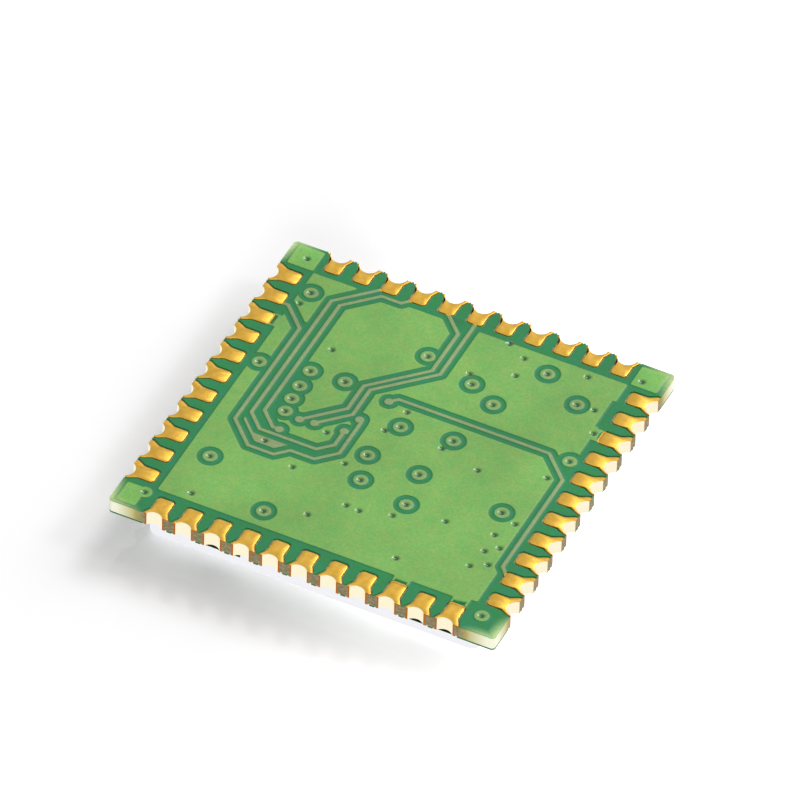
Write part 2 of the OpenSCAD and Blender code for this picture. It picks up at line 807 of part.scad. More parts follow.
module small_part_solder() {
    color("#b9bcc2") translate([0, 0, parts_z - solder_t]) linear_extrude(solder_t) {
        small_places(inductor_shares) end_pads(inductor_l, inductor_w);
        small_places(capacitor_shares) end_pads(capacitor_l, capacitor_w);
        small_places(resistor_shares) end_pads(resistor_l, resistor_w);
    }
}

laminate_core();
pad_side_copper();
pad_side_mask();
component_side_copper();
component_side_mask();
front_contacts();
right_contacts();
back_contacts();
left_contacts();
via_barrels();
shield_can();
shield_solder();
baseband_chip();
baseband_balls();
memory_chip();
memory_balls();
power_management_chip();
power_management_balls();
transceiver_chip();
transceiver_pads();
power_amplifier();
power_amplifier_pads();
crystal_base();
crystal_lid();
surface_wave_filters();
crystal_and_filter_pads();
inductor_bodies();
inductor_terminals();
capacitor_bodies();
capacitor_terminals();
resistor_bodies();
resistor_terminals();
small_part_solder();
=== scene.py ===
"""Radio module lying on its shield can: a routed board with plated half-hole contacts on all four edges."""

import math

import bmesh
import bpy
from mathutils import Matrix, Vector
from mathutils.bvhtree import BVHTree
from mathutils.geometry import delaunay_2d_cdt
from mathutils.kdtree import KDTree


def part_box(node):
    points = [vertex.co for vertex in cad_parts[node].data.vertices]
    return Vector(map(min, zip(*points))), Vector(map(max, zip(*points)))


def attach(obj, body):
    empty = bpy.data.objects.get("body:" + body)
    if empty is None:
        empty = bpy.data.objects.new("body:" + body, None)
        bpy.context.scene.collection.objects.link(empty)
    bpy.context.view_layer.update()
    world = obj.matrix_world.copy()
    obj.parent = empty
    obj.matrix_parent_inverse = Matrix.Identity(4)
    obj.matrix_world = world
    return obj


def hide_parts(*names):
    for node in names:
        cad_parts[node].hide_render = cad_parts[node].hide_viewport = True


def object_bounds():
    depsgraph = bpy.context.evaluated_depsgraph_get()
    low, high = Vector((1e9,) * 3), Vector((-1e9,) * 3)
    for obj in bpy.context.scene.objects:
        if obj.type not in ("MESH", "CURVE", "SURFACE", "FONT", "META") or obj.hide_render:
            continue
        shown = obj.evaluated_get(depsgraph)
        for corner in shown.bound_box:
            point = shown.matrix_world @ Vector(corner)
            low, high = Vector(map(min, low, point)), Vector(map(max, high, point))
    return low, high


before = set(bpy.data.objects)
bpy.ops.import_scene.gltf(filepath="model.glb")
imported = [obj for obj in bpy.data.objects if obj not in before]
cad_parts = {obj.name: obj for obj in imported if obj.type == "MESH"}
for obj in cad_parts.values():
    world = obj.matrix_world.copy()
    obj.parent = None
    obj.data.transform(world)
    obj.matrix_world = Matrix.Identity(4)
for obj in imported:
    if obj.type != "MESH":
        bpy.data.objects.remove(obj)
cad_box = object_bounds()
scene = bpy.context.scene
scene.view_settings.view_transform = "Standard"

# Laminate core.
# Woven glass cloth pressed with epoxy resin, routed to size, so its cut edge shows the plies as fine
# bands and the ends of the glass bundles as pale specks. Its corners are painted paler and given a painted
# glow.

MM = 0.001
PLY_MM, BUNDLE_MM = 0.095, 0.09
BANDS_PER_PLY = 2
GLASS_RELIEF_MM = 0.004
RESIN_COLOUR, GLASS_COLOUR = "#877C54", "#AA9F78"
LAMINATE_CORNER_LIGHT_COLOUR, LAMINATE_GLOW_COLOUR = "#D6C872", "#F6F7DE"
# Painted light at the corners, first paler colour, then glow: mm from the middle, along and across added
# up.
CORNER_LIGHT_START, CORNER_LIGHT_END = 10.75, 11.15
CORNER_GLOW_START, CORNER_GLOW_END = 11.0, 11.65
PAINTED_GLOW_STRENGTH = 0.25


def linear(hex_colour):
    """Turns an sRGB hex colour into Blender's linear colour."""
    channels = [int(hex_colour[i : i + 2], 16) / 255 for i in (1, 3, 5)]
    return [c / 12.92 if c <= 0.04045 else ((c + 0.055) / 1.055) ** 2.4 for c in channels] + [1]


def add_node(tree, kind, inputs=(), **settings):
    """Adds a node. Settings are its properties; inputs give a socket a value or a node's output."""
    node = tree.nodes.new(kind)
    for name, value in settings.items():
        setattr(node, name, value)
    for key, value in dict(inputs).items():
        if isinstance(value, bpy.types.NodeSocket):
            tree.links.new(value, node.inputs[key])
        else:
            node.inputs[key].default_value = value
    return node


def new_finish(name, inputs):
    """Starts a material: its tree, its shader and the object coordinates that its patterns read."""
    material = bpy.data.materials.new(name)
    material.use_nodes = True
    tree = material.node_tree
    tree.nodes.clear()
    shader = add_node(tree, "ShaderNodeBsdfPrincipled", inputs)
    add_node(tree, "ShaderNodeOutputMaterial", {"Surface": shader.outputs[0]})
    place = add_node(tree, "ShaderNodeTexCoord").outputs["Object"]
    return material, tree, shader, place


def edge_share(tree, place, operation, start, end):
    """0 to 1 as a spot's distances from the middle, added up or the larger one, go from start to end."""
    apart = add_node(tree, "ShaderNodeSeparateXYZ", {0: place})
    along = add_node(tree, "ShaderNodeMath", {0: apart.outputs[0]}, operation="ABSOLUTE")
    across = add_node(tree, "ShaderNodeMath", {0: apart.outputs[1]}, operation="ABSOLUTE")
    both = add_node(
        tree, "ShaderNodeMath", {0: along.outputs[0], 1: across.outputs[0]}, operation=operation
    )
    share = add_node(
        tree,
        "ShaderNodeMapRange",
        {"Value": both.outputs[0], "From Min": start * MM, "From Max": end * MM},
    )
    return share.outputs[0]


# Cut glass laminate: matt, pale glass ends in yellowish resin, with painted light and glow at the corners.
laminate, tree, shader, place = new_finish("routed_glass_laminate", {"Roughness": 0.62, "IOR": 1.5})
flat = add_node(
    tree, "ShaderNodeMapping", {"Vector": place, "Scale": (1, 1, BUNDLE_MM / PLY_MM * BANDS_PER_PLY)}
)
bundles = add_node(
    tree, "ShaderNodeTexNoise", {"Vector": flat.outputs[0], "Scale": 1 / (BUNDLE_MM * MM), "Detail": 3}
)
glass_share = add_node(
    tree, "ShaderNodeMapRange", {"Value": bundles.outputs["Fac"], "From Min": 0.42, "From Max": 0.62}
)
tone = add_node(
    tree,
    "ShaderNodeMix",
    {0: glass_share.outputs[0], 6: linear(RESIN_COLOUR), 7: linear(GLASS_COLOUR)},
    data_type="RGBA",
)
# Painted light: the laminate turns cream towards the corners.
corner_light_tone = add_node(
    tree,
    "ShaderNodeMix",
    {
        0: edge_share(tree, place, "ADD", CORNER_LIGHT_START, CORNER_LIGHT_END),
        6: tone.outputs[2],
        7: linear(LAMINATE_CORNER_LIGHT_COLOUR),
    },
    data_type="RGBA",
)
painted_corner_light = edge_share(tree, place, "ADD", CORNER_GLOW_START, CORNER_GLOW_END)
painted_corner_tone = add_node(
    tree,
    "ShaderNodeMix",
    {0: painted_corner_light, 6: corner_light_tone.outputs[2], 7: linear(LAMINATE_GLOW_COLOUR)},
    data_type="RGBA",
)
tree.links.new(painted_corner_tone.outputs[2], shader.inputs["Base Color"])
# Painted glow: the corners give off light of their own.
painted_glow = add_node(tree, "ShaderNodeMapRange", {"Value": painted_corner_light, "To Max": PAINTED_GLOW_STRENGTH})
shader.inputs["Emission Color"].default_value = linear(LAMINATE_GLOW_COLOUR)
tree.links.new(painted_glow.outputs[0], shader.inputs["Emission Strength"])
relief = add_node(
    tree,
    "ShaderNodeBump",
    {"Height": bundles.outputs["Fac"], "Distance": GLASS_RELIEF_MM * MM, "Strength": 0.6},
)
tree.links.new(relief.outputs[0], shader.inputs["Normal"])


def dress(node_name, material):
    """Gives a CAD node its finish and leaves its mesh as it is."""
    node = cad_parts[node_name]
    node.data.materials.clear()
    node.data.materials.append(material)


dress("laminate_core", laminate)

# Copper foil and via tubes.
# Foil etched to the routed pattern on both faces of the laminate, joined by plated tubes. Here are the
# foil under the board and the tubes, of which the mask leaves little to be seen.

COPPER_COLOUR, COPPER_DEEP_COLOUR = "#B87449", "#9A5C36"
ETCH_GRAIN_MM = 0.03

# Etched copper: dull reddish metal with a fine grain, drawn coarser than the real few microns.
copper, tree, shader, place = new_finish("etched_copper_foil", {"Metallic": 1.0, "Roughness": 0.42})
grain = add_node(
    tree, "ShaderNodeTexNoise", {"Vector": place, "Scale": 1 / (ETCH_GRAIN_MM * MM), "Detail": 2}
)
tone = add_node(
    tree,
    "ShaderNodeMix",
    {0: grain.outputs["Fac"], 6: linear(COPPER_DEEP_COLOUR), 7: linear(COPPER_COLOUR)},
    data_type="RGBA",
)
tree.links.new(tone.outputs[2], shader.inputs["Base Color"])
for node_name in ("component_side_copper", "via_barrels"):
    dress(node_name, copper)

# Edge contacts.
# Copper lands that widen to the board's edge, each with a plated half-hole through the whole board and a
# narrow ring under it, all gold plated over nickel. The holes were drilled a little off the lands.

LAND_HALF = 0.245
LAND_END = 0.73
LAND_CORNER = 0.1
LAND_CORNER_STEPS = 4
FLARE_HALF = 0.38
FLARE_END = 0.25
FLARE_SHARES = (0.2, 0.4, 0.6, 0.8, 1)
HOLE_R = 0.29
HOLE_OUT = 0.1
HOLE_CLEAR = 0.002
PLATING = 0.045
RING_OUT = 0.075
EDGE_ROUND = 0.02
ROUND_SHARE = 0.3
SIDE_STRIP = 0.08
DRILL_DRIFT = (-0.04, -0.06)
CONTACT_PITCH = 0.9
CONTACTS_PER_SIDE = 11
FRAME_HALF = cad_box[1].y / MM
FOIL_BOTTOM, FOIL_TOP = (corner.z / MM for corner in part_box("pad_side_copper"))
RING_BOTTOM, RING_TOP = (corner.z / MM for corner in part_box("component_side_copper"))


def land_outline(edge, hole):
    """Outline of a land from one side of its mouth to the other, widened where the plating passes it."""
    side = [(FLARE_HALF, edge)]
    if edge:
        side += [(FLARE_HALF, edge / 2), (FLARE_HALF, 0.0)]
    side += [(FLARE_HALF + (LAND_HALF - FLARE_HALF) * t, FLARE_END * t) for t in FLARE_SHARES]
    side += [(LAND_HALF, (FLARE_END + LAND_END - LAND_CORNER) / 2)]
    for step in range(LAND_CORNER_STEPS + 1):
        angle = math.radians(90 / LAND_CORNER_STEPS * step)
        turn = Vector((math.cos(angle), math.sin(angle))) * LAND_CORNER
        side.append((LAND_HALF - LAND_CORNER + turn.x, LAND_END - LAND_CORNER + turn.y))
    side.append(((LAND_HALF - LAND_CORNER) / 2, LAND_END))
    reach = HOLE_R + PLATING + HOLE_CLEAR
    points = []
    for x, y in side + [(0.0, LAND_END)] + [(-x, y) for x, y in reversed(side)]:
        away = Vector((x, y)) - hole
        if away.length < reach and y == edge:
            away.x = math.copysign(math.sqrt(reach**2 - away.y**2), away.x)
        elif away.length < reach:
            away.length = reach
        points.append(hole + away)
    return points


def hole_arc(radius, shares, edge, hole):
    """Points on the half-hole's circle inside the board's edge, at shares of the way round."""
    start = math.asin((edge - hole.y) / radius)
    angles = [start + share * (math.pi - 2 * start) for share in shares]
    return [hole + radius * Vector((math.cos(angle), math.sin(angle))) for angle in angles]


def inset(outline, amount, edge):
    """The same outline drawn in from its free edge, with both ends kept on the board's edge."""
    moved = []
    for before, point, after in zip(outline[:1] + outline[:-1], outline, outline[1:] + outline[-1:]):
        along = (after - before).normalized()
        moved.append(point + amount * Vector((-along.y, along.x)))
    moved[0].y = moved[-1].y = edge
    return moved


def contact_mesh(side):
    """One contact of this side as a closed solid: its section carried round the half-hole."""
    edge = -SIDE_STRIP if side % 2 else 0.0
    drift = Vector(DRILL_DRIFT)
    drift.rotate(Matrix.Rotation(math.radians(-90 * side), 2))
    hole = Vector((0, edge - HOLE_OUT)) + drift
    outline = land_outline(edge, hole)
    lengths = [0.0]
    for a, b in zip(outline, outline[1:]):
        lengths.append(lengths[-1] + (b - a).length)
    shares = [length / lengths[-1] for length in lengths]
    slight = EDGE_ROUND * ROUND_SHARE
    # Each line of the section: its points, its level and how far it counts as the wall of the hole.
    rails = [
        (outline, FOIL_BOTTOM, 0.0),
        (outline, FOIL_TOP - EDGE_ROUND, 0.0),
        (inset(outline, slight, edge), FOIL_TOP - slight, 0.0),
        (inset(outline, EDGE_ROUND, edge), FOIL_TOP, 0.0),
        (hole_arc(HOLE_R + EDGE_ROUND, shares, edge, hole), FOIL_TOP, 0.0),
        (hole_arc(HOLE_R + slight, shares, edge, hole), FOIL_TOP - slight, ROUND_SHARE),
        (hole_arc(HOLE_R, shares, edge, hole), FOIL_TOP - EDGE_ROUND, 1.0),
        (hole_arc(HOLE_R, shares, edge, hole), RING_BOTTOM, 1.0),
        (hole_arc(HOLE_R + RING_OUT, shares, edge, hole), RING_BOTTOM, 0.0),
        (hole_arc(HOLE_R + RING_OUT, shares, edge, hole), RING_TOP, 0.0),
        (hole_arc(HOLE_R + PLATING, shares, edge, hole), RING_TOP, 0.0),
        (hole_arc(HOLE_R + PLATING, shares, edge, hole), FOIL_BOTTOM, 0.0),
    ]
    solid = bmesh.new()
    in_hole = solid.verts.layers.float.new("in_hole")
    cut_end = solid.faces.layers.float.new("cut_end")
    rows = []
    for points, level, inside in rails:
        rows.append([solid.verts.new((point.x, point.y - FRAME_HALF, level)) for point in points])
        for vert in rows[-1]:
            vert[in_hole] = inside
    for row, next_row in zip(rows, rows[1:] + rows[:1]):
        for i in range(len(outline) - 1):
            solid.faces.new((row[i], row[i + 1], next_row[i + 1], next_row[i]))
    for cap in ([row[0] for row in rows], [row[-1] for row in reversed(rows)]):
        solid.faces.new(cap)[cut_end] = 1.0
    bmesh.ops.recalc_face_normals(solid, faces=solid.faces)
    mesh = bpy.data.meshes.new("contact")
    solid.to_mesh(mesh)
    solid.free()
    return mesh


def new_object(name, mesh):
    """Puts a mesh into the scene as an object at the origin."""
    piece = bpy.data.objects.new(name, mesh)
    scene.collection.objects.link(piece)
    return piece


def new_group(name, sizes):
    """Starts a geometry tree with a geometry input and named number inputs."""
    group = bpy.data.node_groups.new(name, "GeometryNodeTree")
    group.interface.new_socket("Geometry", in_out="INPUT", socket_type="NodeSocketGeometry")
    for size_name, value in sizes.items():
        kind = "NodeSocketInt" if isinstance(value, int) else "NodeSocketFloat"
        group.interface.new_socket(size_name, in_out="INPUT", socket_type=kind)
    group.interface.new_socket("Geometry", in_out="OUTPUT", socket_type="NodeSocketGeometry")
    return group


def bake_group(piece, group, sizes):
    """Runs a geometry tree on a piece with these sizes and keeps the result as the piece's plain mesh."""
    modifier = piece.modifiers.new(group.name, "NODES")
    modifier.node_group = group
    for item in group.interface.items_tree:
        if item.name in sizes:
            modifier[item.identifier] = sizes[item.name]
    keep_modified(piece)


def keep_modified(piece):
    """Turns a piece's modifiers into its plain mesh."""
    result = bpy.data.meshes.new_from_object(piece.evaluated_get(bpy.context.evaluated_depsgraph_get()))
    piece.modifiers.clear()
    piece.data = result


def finish_piece(piece, slot, *nodes, sharp_degrees=30):
    """Smooths a piece made in millimetres, puts it in metres and lets it stand for its CAD nodes."""
    piece.data.transform(Matrix.Scale(MM, 4))
    if sharp_degrees:
        piece.data.shade_smooth()
        piece.data.set_sharp_from_angle(angle=math.radians(sharp_degrees))
        weights = piece.modifiers.new("face_weights", "WEIGHTED_NORMAL")
        weights.keep_sharp = True
        keep_modified(piece)
    piece.data.name = piece.name
    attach(piece, "root")
    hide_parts(*nodes)


# Gold over nickel: satin yellow metal, a little uneven where the plating ran, smoother on the walls of the
# half-holes and painted near-white there as a painted reflection, and orange-brown where the saw cut
# through the copper under it. Its grain is drawn coarser than the real few microns.
GOLD_COLOUR, GOLD_DEEP_COLOUR = "#C8A044", "#BD9338"
GOLD_HOLE_SHINE_COLOUR, GOLD_CUT_COLOUR = "#FFF6D6", "#B5671F"
GOLD_CLOUD_MM, GOLD_GRAIN_MM, GOLD_RELIEF_MM = 0.16, 0.03, 0.002
GOLD_FLAT_ROUGHNESS, GOLD_WALL_ROUGHNESS = 0.42, 0.16
gold, tree, shader, place = new_finish("satin_gold_plating", {"Metallic": 1.0})
cloud = add_node(
    tree, "ShaderNodeTexNoise", {"Vector": place, "Scale": 1 / (GOLD_CLOUD_MM * MM), "Detail": 4}
)
grain = add_node(
    tree, "ShaderNodeTexNoise", {"Vector": place, "Scale": 1 / (GOLD_GRAIN_MM * MM), "Detail": 2}
)
in_hole = add_node(tree, "ShaderNodeAttribute", attribute_name="in_hole").outputs["Fac"]
cut_end = add_node(tree, "ShaderNodeAttribute", attribute_name="cut_end").outputs["Fac"]
patchy = add_node(
    tree, "ShaderNodeMapRange", {"Value": cloud.outputs["Fac"], "From Min": 0.35, "From Max": 0.65}
)
flat_tone = add_node(
    tree,
    "ShaderNodeMix",
    {0: patchy.outputs[0], 6: linear(GOLD_DEEP_COLOUR), 7: linear(GOLD_COLOUR)},
    data_type="RGBA",
)
# Painted reflection: the half-hole walls are painted near-white for the bright light they mirror.
painted_wall_shine_tone = add_node(
    tree,
    "ShaderNodeMix",
    {0: in_hole, 6: flat_tone.outputs[2], 7: linear(GOLD_HOLE_SHINE_COLOUR)},
    data_type="RGBA",
)
tone = add_node(
    tree,
    "ShaderNodeMix",
    {0: cut_end, 6: painted_wall_shine_tone.outputs[2], 7: linear(GOLD_CUT_COLOUR)},
    data_type="RGBA",
)
tree.links.new(tone.outputs[2], shader.inputs["Base Color"])
smooth_wall = add_node(
    tree,
    "ShaderNodeMapRange",
    {"Value": in_hole, "To Min": GOLD_FLAT_ROUGHNESS, "To Max": GOLD_WALL_ROUGHNESS},
)
tree.links.new(smooth_wall.outputs[0], shader.inputs["Roughness"])
relief = add_node(
    tree,
    "ShaderNodeBump",
    {"Height": grain.outputs["Fac"], "Distance": GOLD_RELIEF_MM * MM, "Strength": 0.5},
)
tree.links.new(relief.outputs[0], shader.inputs["Normal"])
dress("pad_side_copper", gold)

row_sizes = {"Contact pitch": CONTACT_PITCH, "Contacts per side": CONTACTS_PER_SIDE, "Quarter turns": 0}
group = new_group("row_of_contacts", row_sizes)
given = add_node(group, "NodeGroupInput")
steps = add_node(
    group, "ShaderNodeMath", {0: given.outputs["Contacts per side"], 1: 1}, operation="SUBTRACT"
)
row_length = add_node(
    group,
    "ShaderNodeMath",
    {0: steps.outputs[0], 1: given.outputs["Contact pitch"]},
    operation="MULTIPLY",
)
row_start = add_node(group, "ShaderNodeMath", {0: row_length.outputs[0], 1: -0.5}, operation="MULTIPLY")
start_point = add_node(group, "ShaderNodeCombineXYZ", {"X": row_start.outputs[0]})
step_vector = add_node(group, "ShaderNodeCombineXYZ", {"X": given.outputs["Contact pitch"]})
row_points = add_node(
    group,
    "GeometryNodeMeshLine",
    {
        "Count": given.outputs["Contacts per side"],
        "Start Location": start_point.outputs[0],
        "Offset": step_vector.outputs[0],
    },
    mode="OFFSET",
)
row = add_node(
    group,
    "GeometryNodeInstanceOnPoints",
    {"Points": row_points.outputs[0], "Instance": given.outputs["Geometry"]},
)
turn = add_node(
    group, "ShaderNodeMath", {0: given.outputs["Quarter turns"], 1: math.pi / 2}, operation="MULTIPLY"
)
turn_vector = add_node(group, "ShaderNodeCombineXYZ", {"Z": turn.outputs[0]})
in_place = add_node(
    group, "GeometryNodeTransform", {"Geometry": row.outputs[0], "Rotation": turn_vector.outputs[0]}
)
all_contacts = add_node(group, "GeometryNodeRealizeInstances", {"Geometry": in_place.outputs[0]})
plated = add_node(
    group, "GeometryNodeSetMaterial", {"Geometry": all_contacts.outputs[0], "Material": gold}
)
add_node(group, "NodeGroupOutput", {"Geometry": plated.outputs[0]})

for side, node_name in enumerate(("front_contacts", "right_contacts", "back_contacts", "left_contacts")):
    contacts = new_object("plated_" + node_name, contact_mesh(side))
    bake_group(contacts, group, {**row_sizes, "Quarter turns": side})
    finish_piece(contacts, "gold_plating", node_name)

# Pad-side solder mask.
# Liquid ink cured over the whole pad side and opened over the lands. It lies level on the ground copper,
# thins over the narrow traces and rings, runs down a soft slope beside them and sags into each via.

SLOPE_IN = 0.03
SLOPE_OUT = 0.05
SLOPE_MIDDLE_SHARE = 0.15
CORNER_ROUND = 0.06
SHARP_TURN = math.radians(20)
BOWL_R = 0.12
DIMPLE_R = 0.15
DIMPLE_DEPTH = 0.045
DIMPLE_SIDES = 24
DIMPLE_RING_SHARES = (1, 0.86, 0.72, 0.58, 0.44, 0.3, 0.15)
RIM_CLEAR = 0.01
TRACE_LIKE_W = 0.18
RING_LIKE_AREA = 0.2
MASK_TOP = cad_box[1].z / MM
MASK_DIP = 0.015
# How close two levels or points have to be to count as one.
LEVEL_MATCH, POINT_MATCH, TRIANGLE_MATCH = 0.002, 0.0005, 0.0002
WALL_CLEAR = 0.001
# Faces whose normal's height is over the first look up, and under the second they are walls.
LOOKS_UP, IS_WALL = 0.9, 0.1
# A moved point goes at most this share of the way to its neighbour or to the next wall.
NEIGHBOUR_SHARE = 0.4
MITRE_LEAST, MITRE_MOST = 0.6, 1.5
RUN_ON = 0.05


def merged_copy(node_name):
    """A CAD node's mesh in millimetres, with its loose triangles merged."""
    solid = bmesh.new()
    solid.from_mesh(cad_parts[node_name].data)
    bmesh.ops.scale(solid, vec=(1 / MM,) * 3, verts=solid.verts)
    bmesh.ops.remove_doubles(solid, verts=solid.verts, dist=POINT_MATCH)
    return solid


def islands(faces):
    """Groups these faces by the edges they share."""
    left, groups = set(faces), []
    while left:
        group, border = [], [left.pop()]
        while border:
            face = border.pop()
            group.append(face)
            near = {other for edge in face.edges for other in edge.link_faces if other in left}
            left -= near
            border += near
        groups.append(group)
    return groups


def level_faces(solid, level):
    """The faces that lie flat at this level and look up."""
    up = [f for f in solid.faces if f.normal.z > LOOKS_UP]
    return [f for f in up if all(abs(v.co.z - level) < LEVEL_MATCH for v in f.verts)]


def via_centres():
    """The middle of every via tube."""
    tubes = merged_copy("via_barrels")
    centres = []
    for tube in islands(tubes.faces):
        xs, ys = ([v.co[axis] for f in tube for v in f.verts] for axis in (0, 1))
        centres.append(Vector(((min(xs) + max(xs)) / 2, (min(ys) + max(ys)) / 2)))
    tubes.free()
    return centres


def rim_edges(faces):
    """The edges round a group of faces: start and end with the group on the left, and the face beyond."""
    group = set(faces)
    for face in faces:
        for loop in face.loops:
            beyond = [f for f in loop.edge.link_faces if f not in group]
            if beyond:
                yield loop.vert.co.xy, loop.link_loop_next.vert.co.xy, beyond[0]


def spot(point):
    """One name for all points that lie within a micron of each other."""
    return round(point.x, 3), round(point.y, 3)


def chains(links):
    """Joins start-to-end links into the longest lists of points; a closed list repeats its first point."""
    links = dict(links)
    heads = [a for a in links if a not in set(links.values())]
    found = []
    while links:
        point = heads.pop() if heads else next(iter(links))
        chain = [point]
        while point in links:
            point = links.pop(point)
            chain.append(point)
        found.append([Vector(p) for p in chain])
    return found


def soften_corners(chain):
    """Turns each sharp corner of an etched outline into a small arc."""
    closed = chain[0] == chain[-1]
    points = chain[:-1] if closed else chain
    count = len(points)
    rounded = []
    for i, point in enumerate(points):
        ahead, behind = points[(i + 1) % count] - point, points[i - 1] - point
        turn = math.pi - ahead.angle(behind)
        if turn < SHARP_TURN or (not closed and i in (0, count - 1)):
            rounded.append(point)
            continue
        shorter = min(ahead.length, behind.length)
        reach = min(CORNER_ROUND * math.tan(turn / 2), NEIGHBOUR_SHARE * shorter)
        start, end = point + behind.normalized() * reach, point + ahead.normalized() * reach
        for t in (0, 0.25, 0.5, 0.75, 1):
            rounded.append(start.lerp(point, t).lerp(point.lerp(end, t), t))
    return rounded + [rounded[0]] if closed else rounded


def clear_way(walls, point, way, reach):
    """How far a point may move this way: its full reach, or less where another wall is near."""
    start = (*(point + way * WALL_CLEAR), 0)
    distance = walls.ray_cast(start, (*way, 0), 4 * reach)[3]
    return reach if distance is None else min(reach, NEIGHBOUR_SHARE * distance)


def beside_chain(walls, chain, distance):
    """A line that keeps this distance to the right of a chain; an open one runs on past its ends."""
    closed = chain[0] == chain[-1]
    count = len(chain) - 1
    moved = []
    for i, point in enumerate(chain):
        back = chain[i - 1] if i else chain[count - 1] if closed else None
        front = chain[i + 1] if i < count else chain[1] if closed else None
        runs = [(b - a).normalized() for a, b in ((back, point), (point, front)) if a and b]
        rights = [Vector((run.y, -run.x)) for run in runs]
        mean = sum(rights, Vector((0, 0))).normalized()
        way = mean if distance > 0 else -mean
        reach = min(abs(distance) / max(MITRE_LEAST, mean.dot(rights[0])), MITRE_MOST * abs(distance))
        place = point + way * clear_way(walls, point, way, reach)
        if not closed and i in (0, count):
            place += runs[0] * (RUN_ON if i else -RUN_ON)
        moved.append(place)
    return moved


def wall_tree(segments):
    """A search tree of upright walls that stand on these segments and face to their right."""
    corners = [(*p, z) for a, b in segments for p, z in ((a, -1), (b, -1), (b, 1), (a, 1))]
    return BVHTree.FromPolygons(corners, [range(i, i + 4) for i in range(0, len(corners), 4)])


def mask_lines(cad, centres):
    """The chains where the mask steps down beside copper, each with its thinness, and its outline."""

    def via_at(point):
        """The via on whose bowl a point lies."""
        _, index, distance = centres.find((*point, 0))
        return index if distance < BOWL_R + RIM_CLEAR else None

    thin_at, steps, outline = {}, {}, []
    for island in islands(level_faces(cad, MASK_TOP)):
        rim = list(rim_edges(island))
        upright = [edge for edge in rim if abs(edge[2].normal.z) < IS_WALL]
        length = sum((b - a).length for a, b, _ in upright)
        bowls = sum((b - a).length for a, b, _ in rim) - length
        area = sum(face.calc_area() for face in island) + bowls * BOWL_R / 2
        thin = 1.0 if 2 * area / length < TRACE_LIKE_W else 0.5 if area < RING_LIKE_AREA else 0.0
        for start, end, beyond in upright:
            if min(v.co.z for v in beyond.verts) > MASK_TOP - MASK_DIP - LEVEL_MATCH:
                steps[spot(start)] = spot(end)
                thin_at[spot(start)] = thin
            else:
                outline.append((start.copy(), end.copy()))
    for start, end, beyond in rim_edges(level_faces(cad, MASK_TOP - MASK_DIP)):
        highest = max(v.co.z for v in beyond.verts)
        if abs(beyond.normal.z) < IS_WALL and highest < MASK_TOP - MASK_DIP + LEVEL_MATCH:
            outline.append((start.copy(), end.copy()))
    starts = set(steps) - set(steps.values())
    for end in set(steps.values()) - set(steps):
        near = [p for p in starts if via_at(p) is not None and via_at(p) == via_at(end)]
        if near:
            steps[end] = min(near, key=lambda p: math.dist(p, end))
            starts.discard(steps[end])
            thin_at[end] = thin_at[steps[end]]
    found = [(chain, thin_at[spot(chain[0])]) for chain in chains(steps)]
    return [(soften_corners(chain), thin) for chain, thin in found], outline


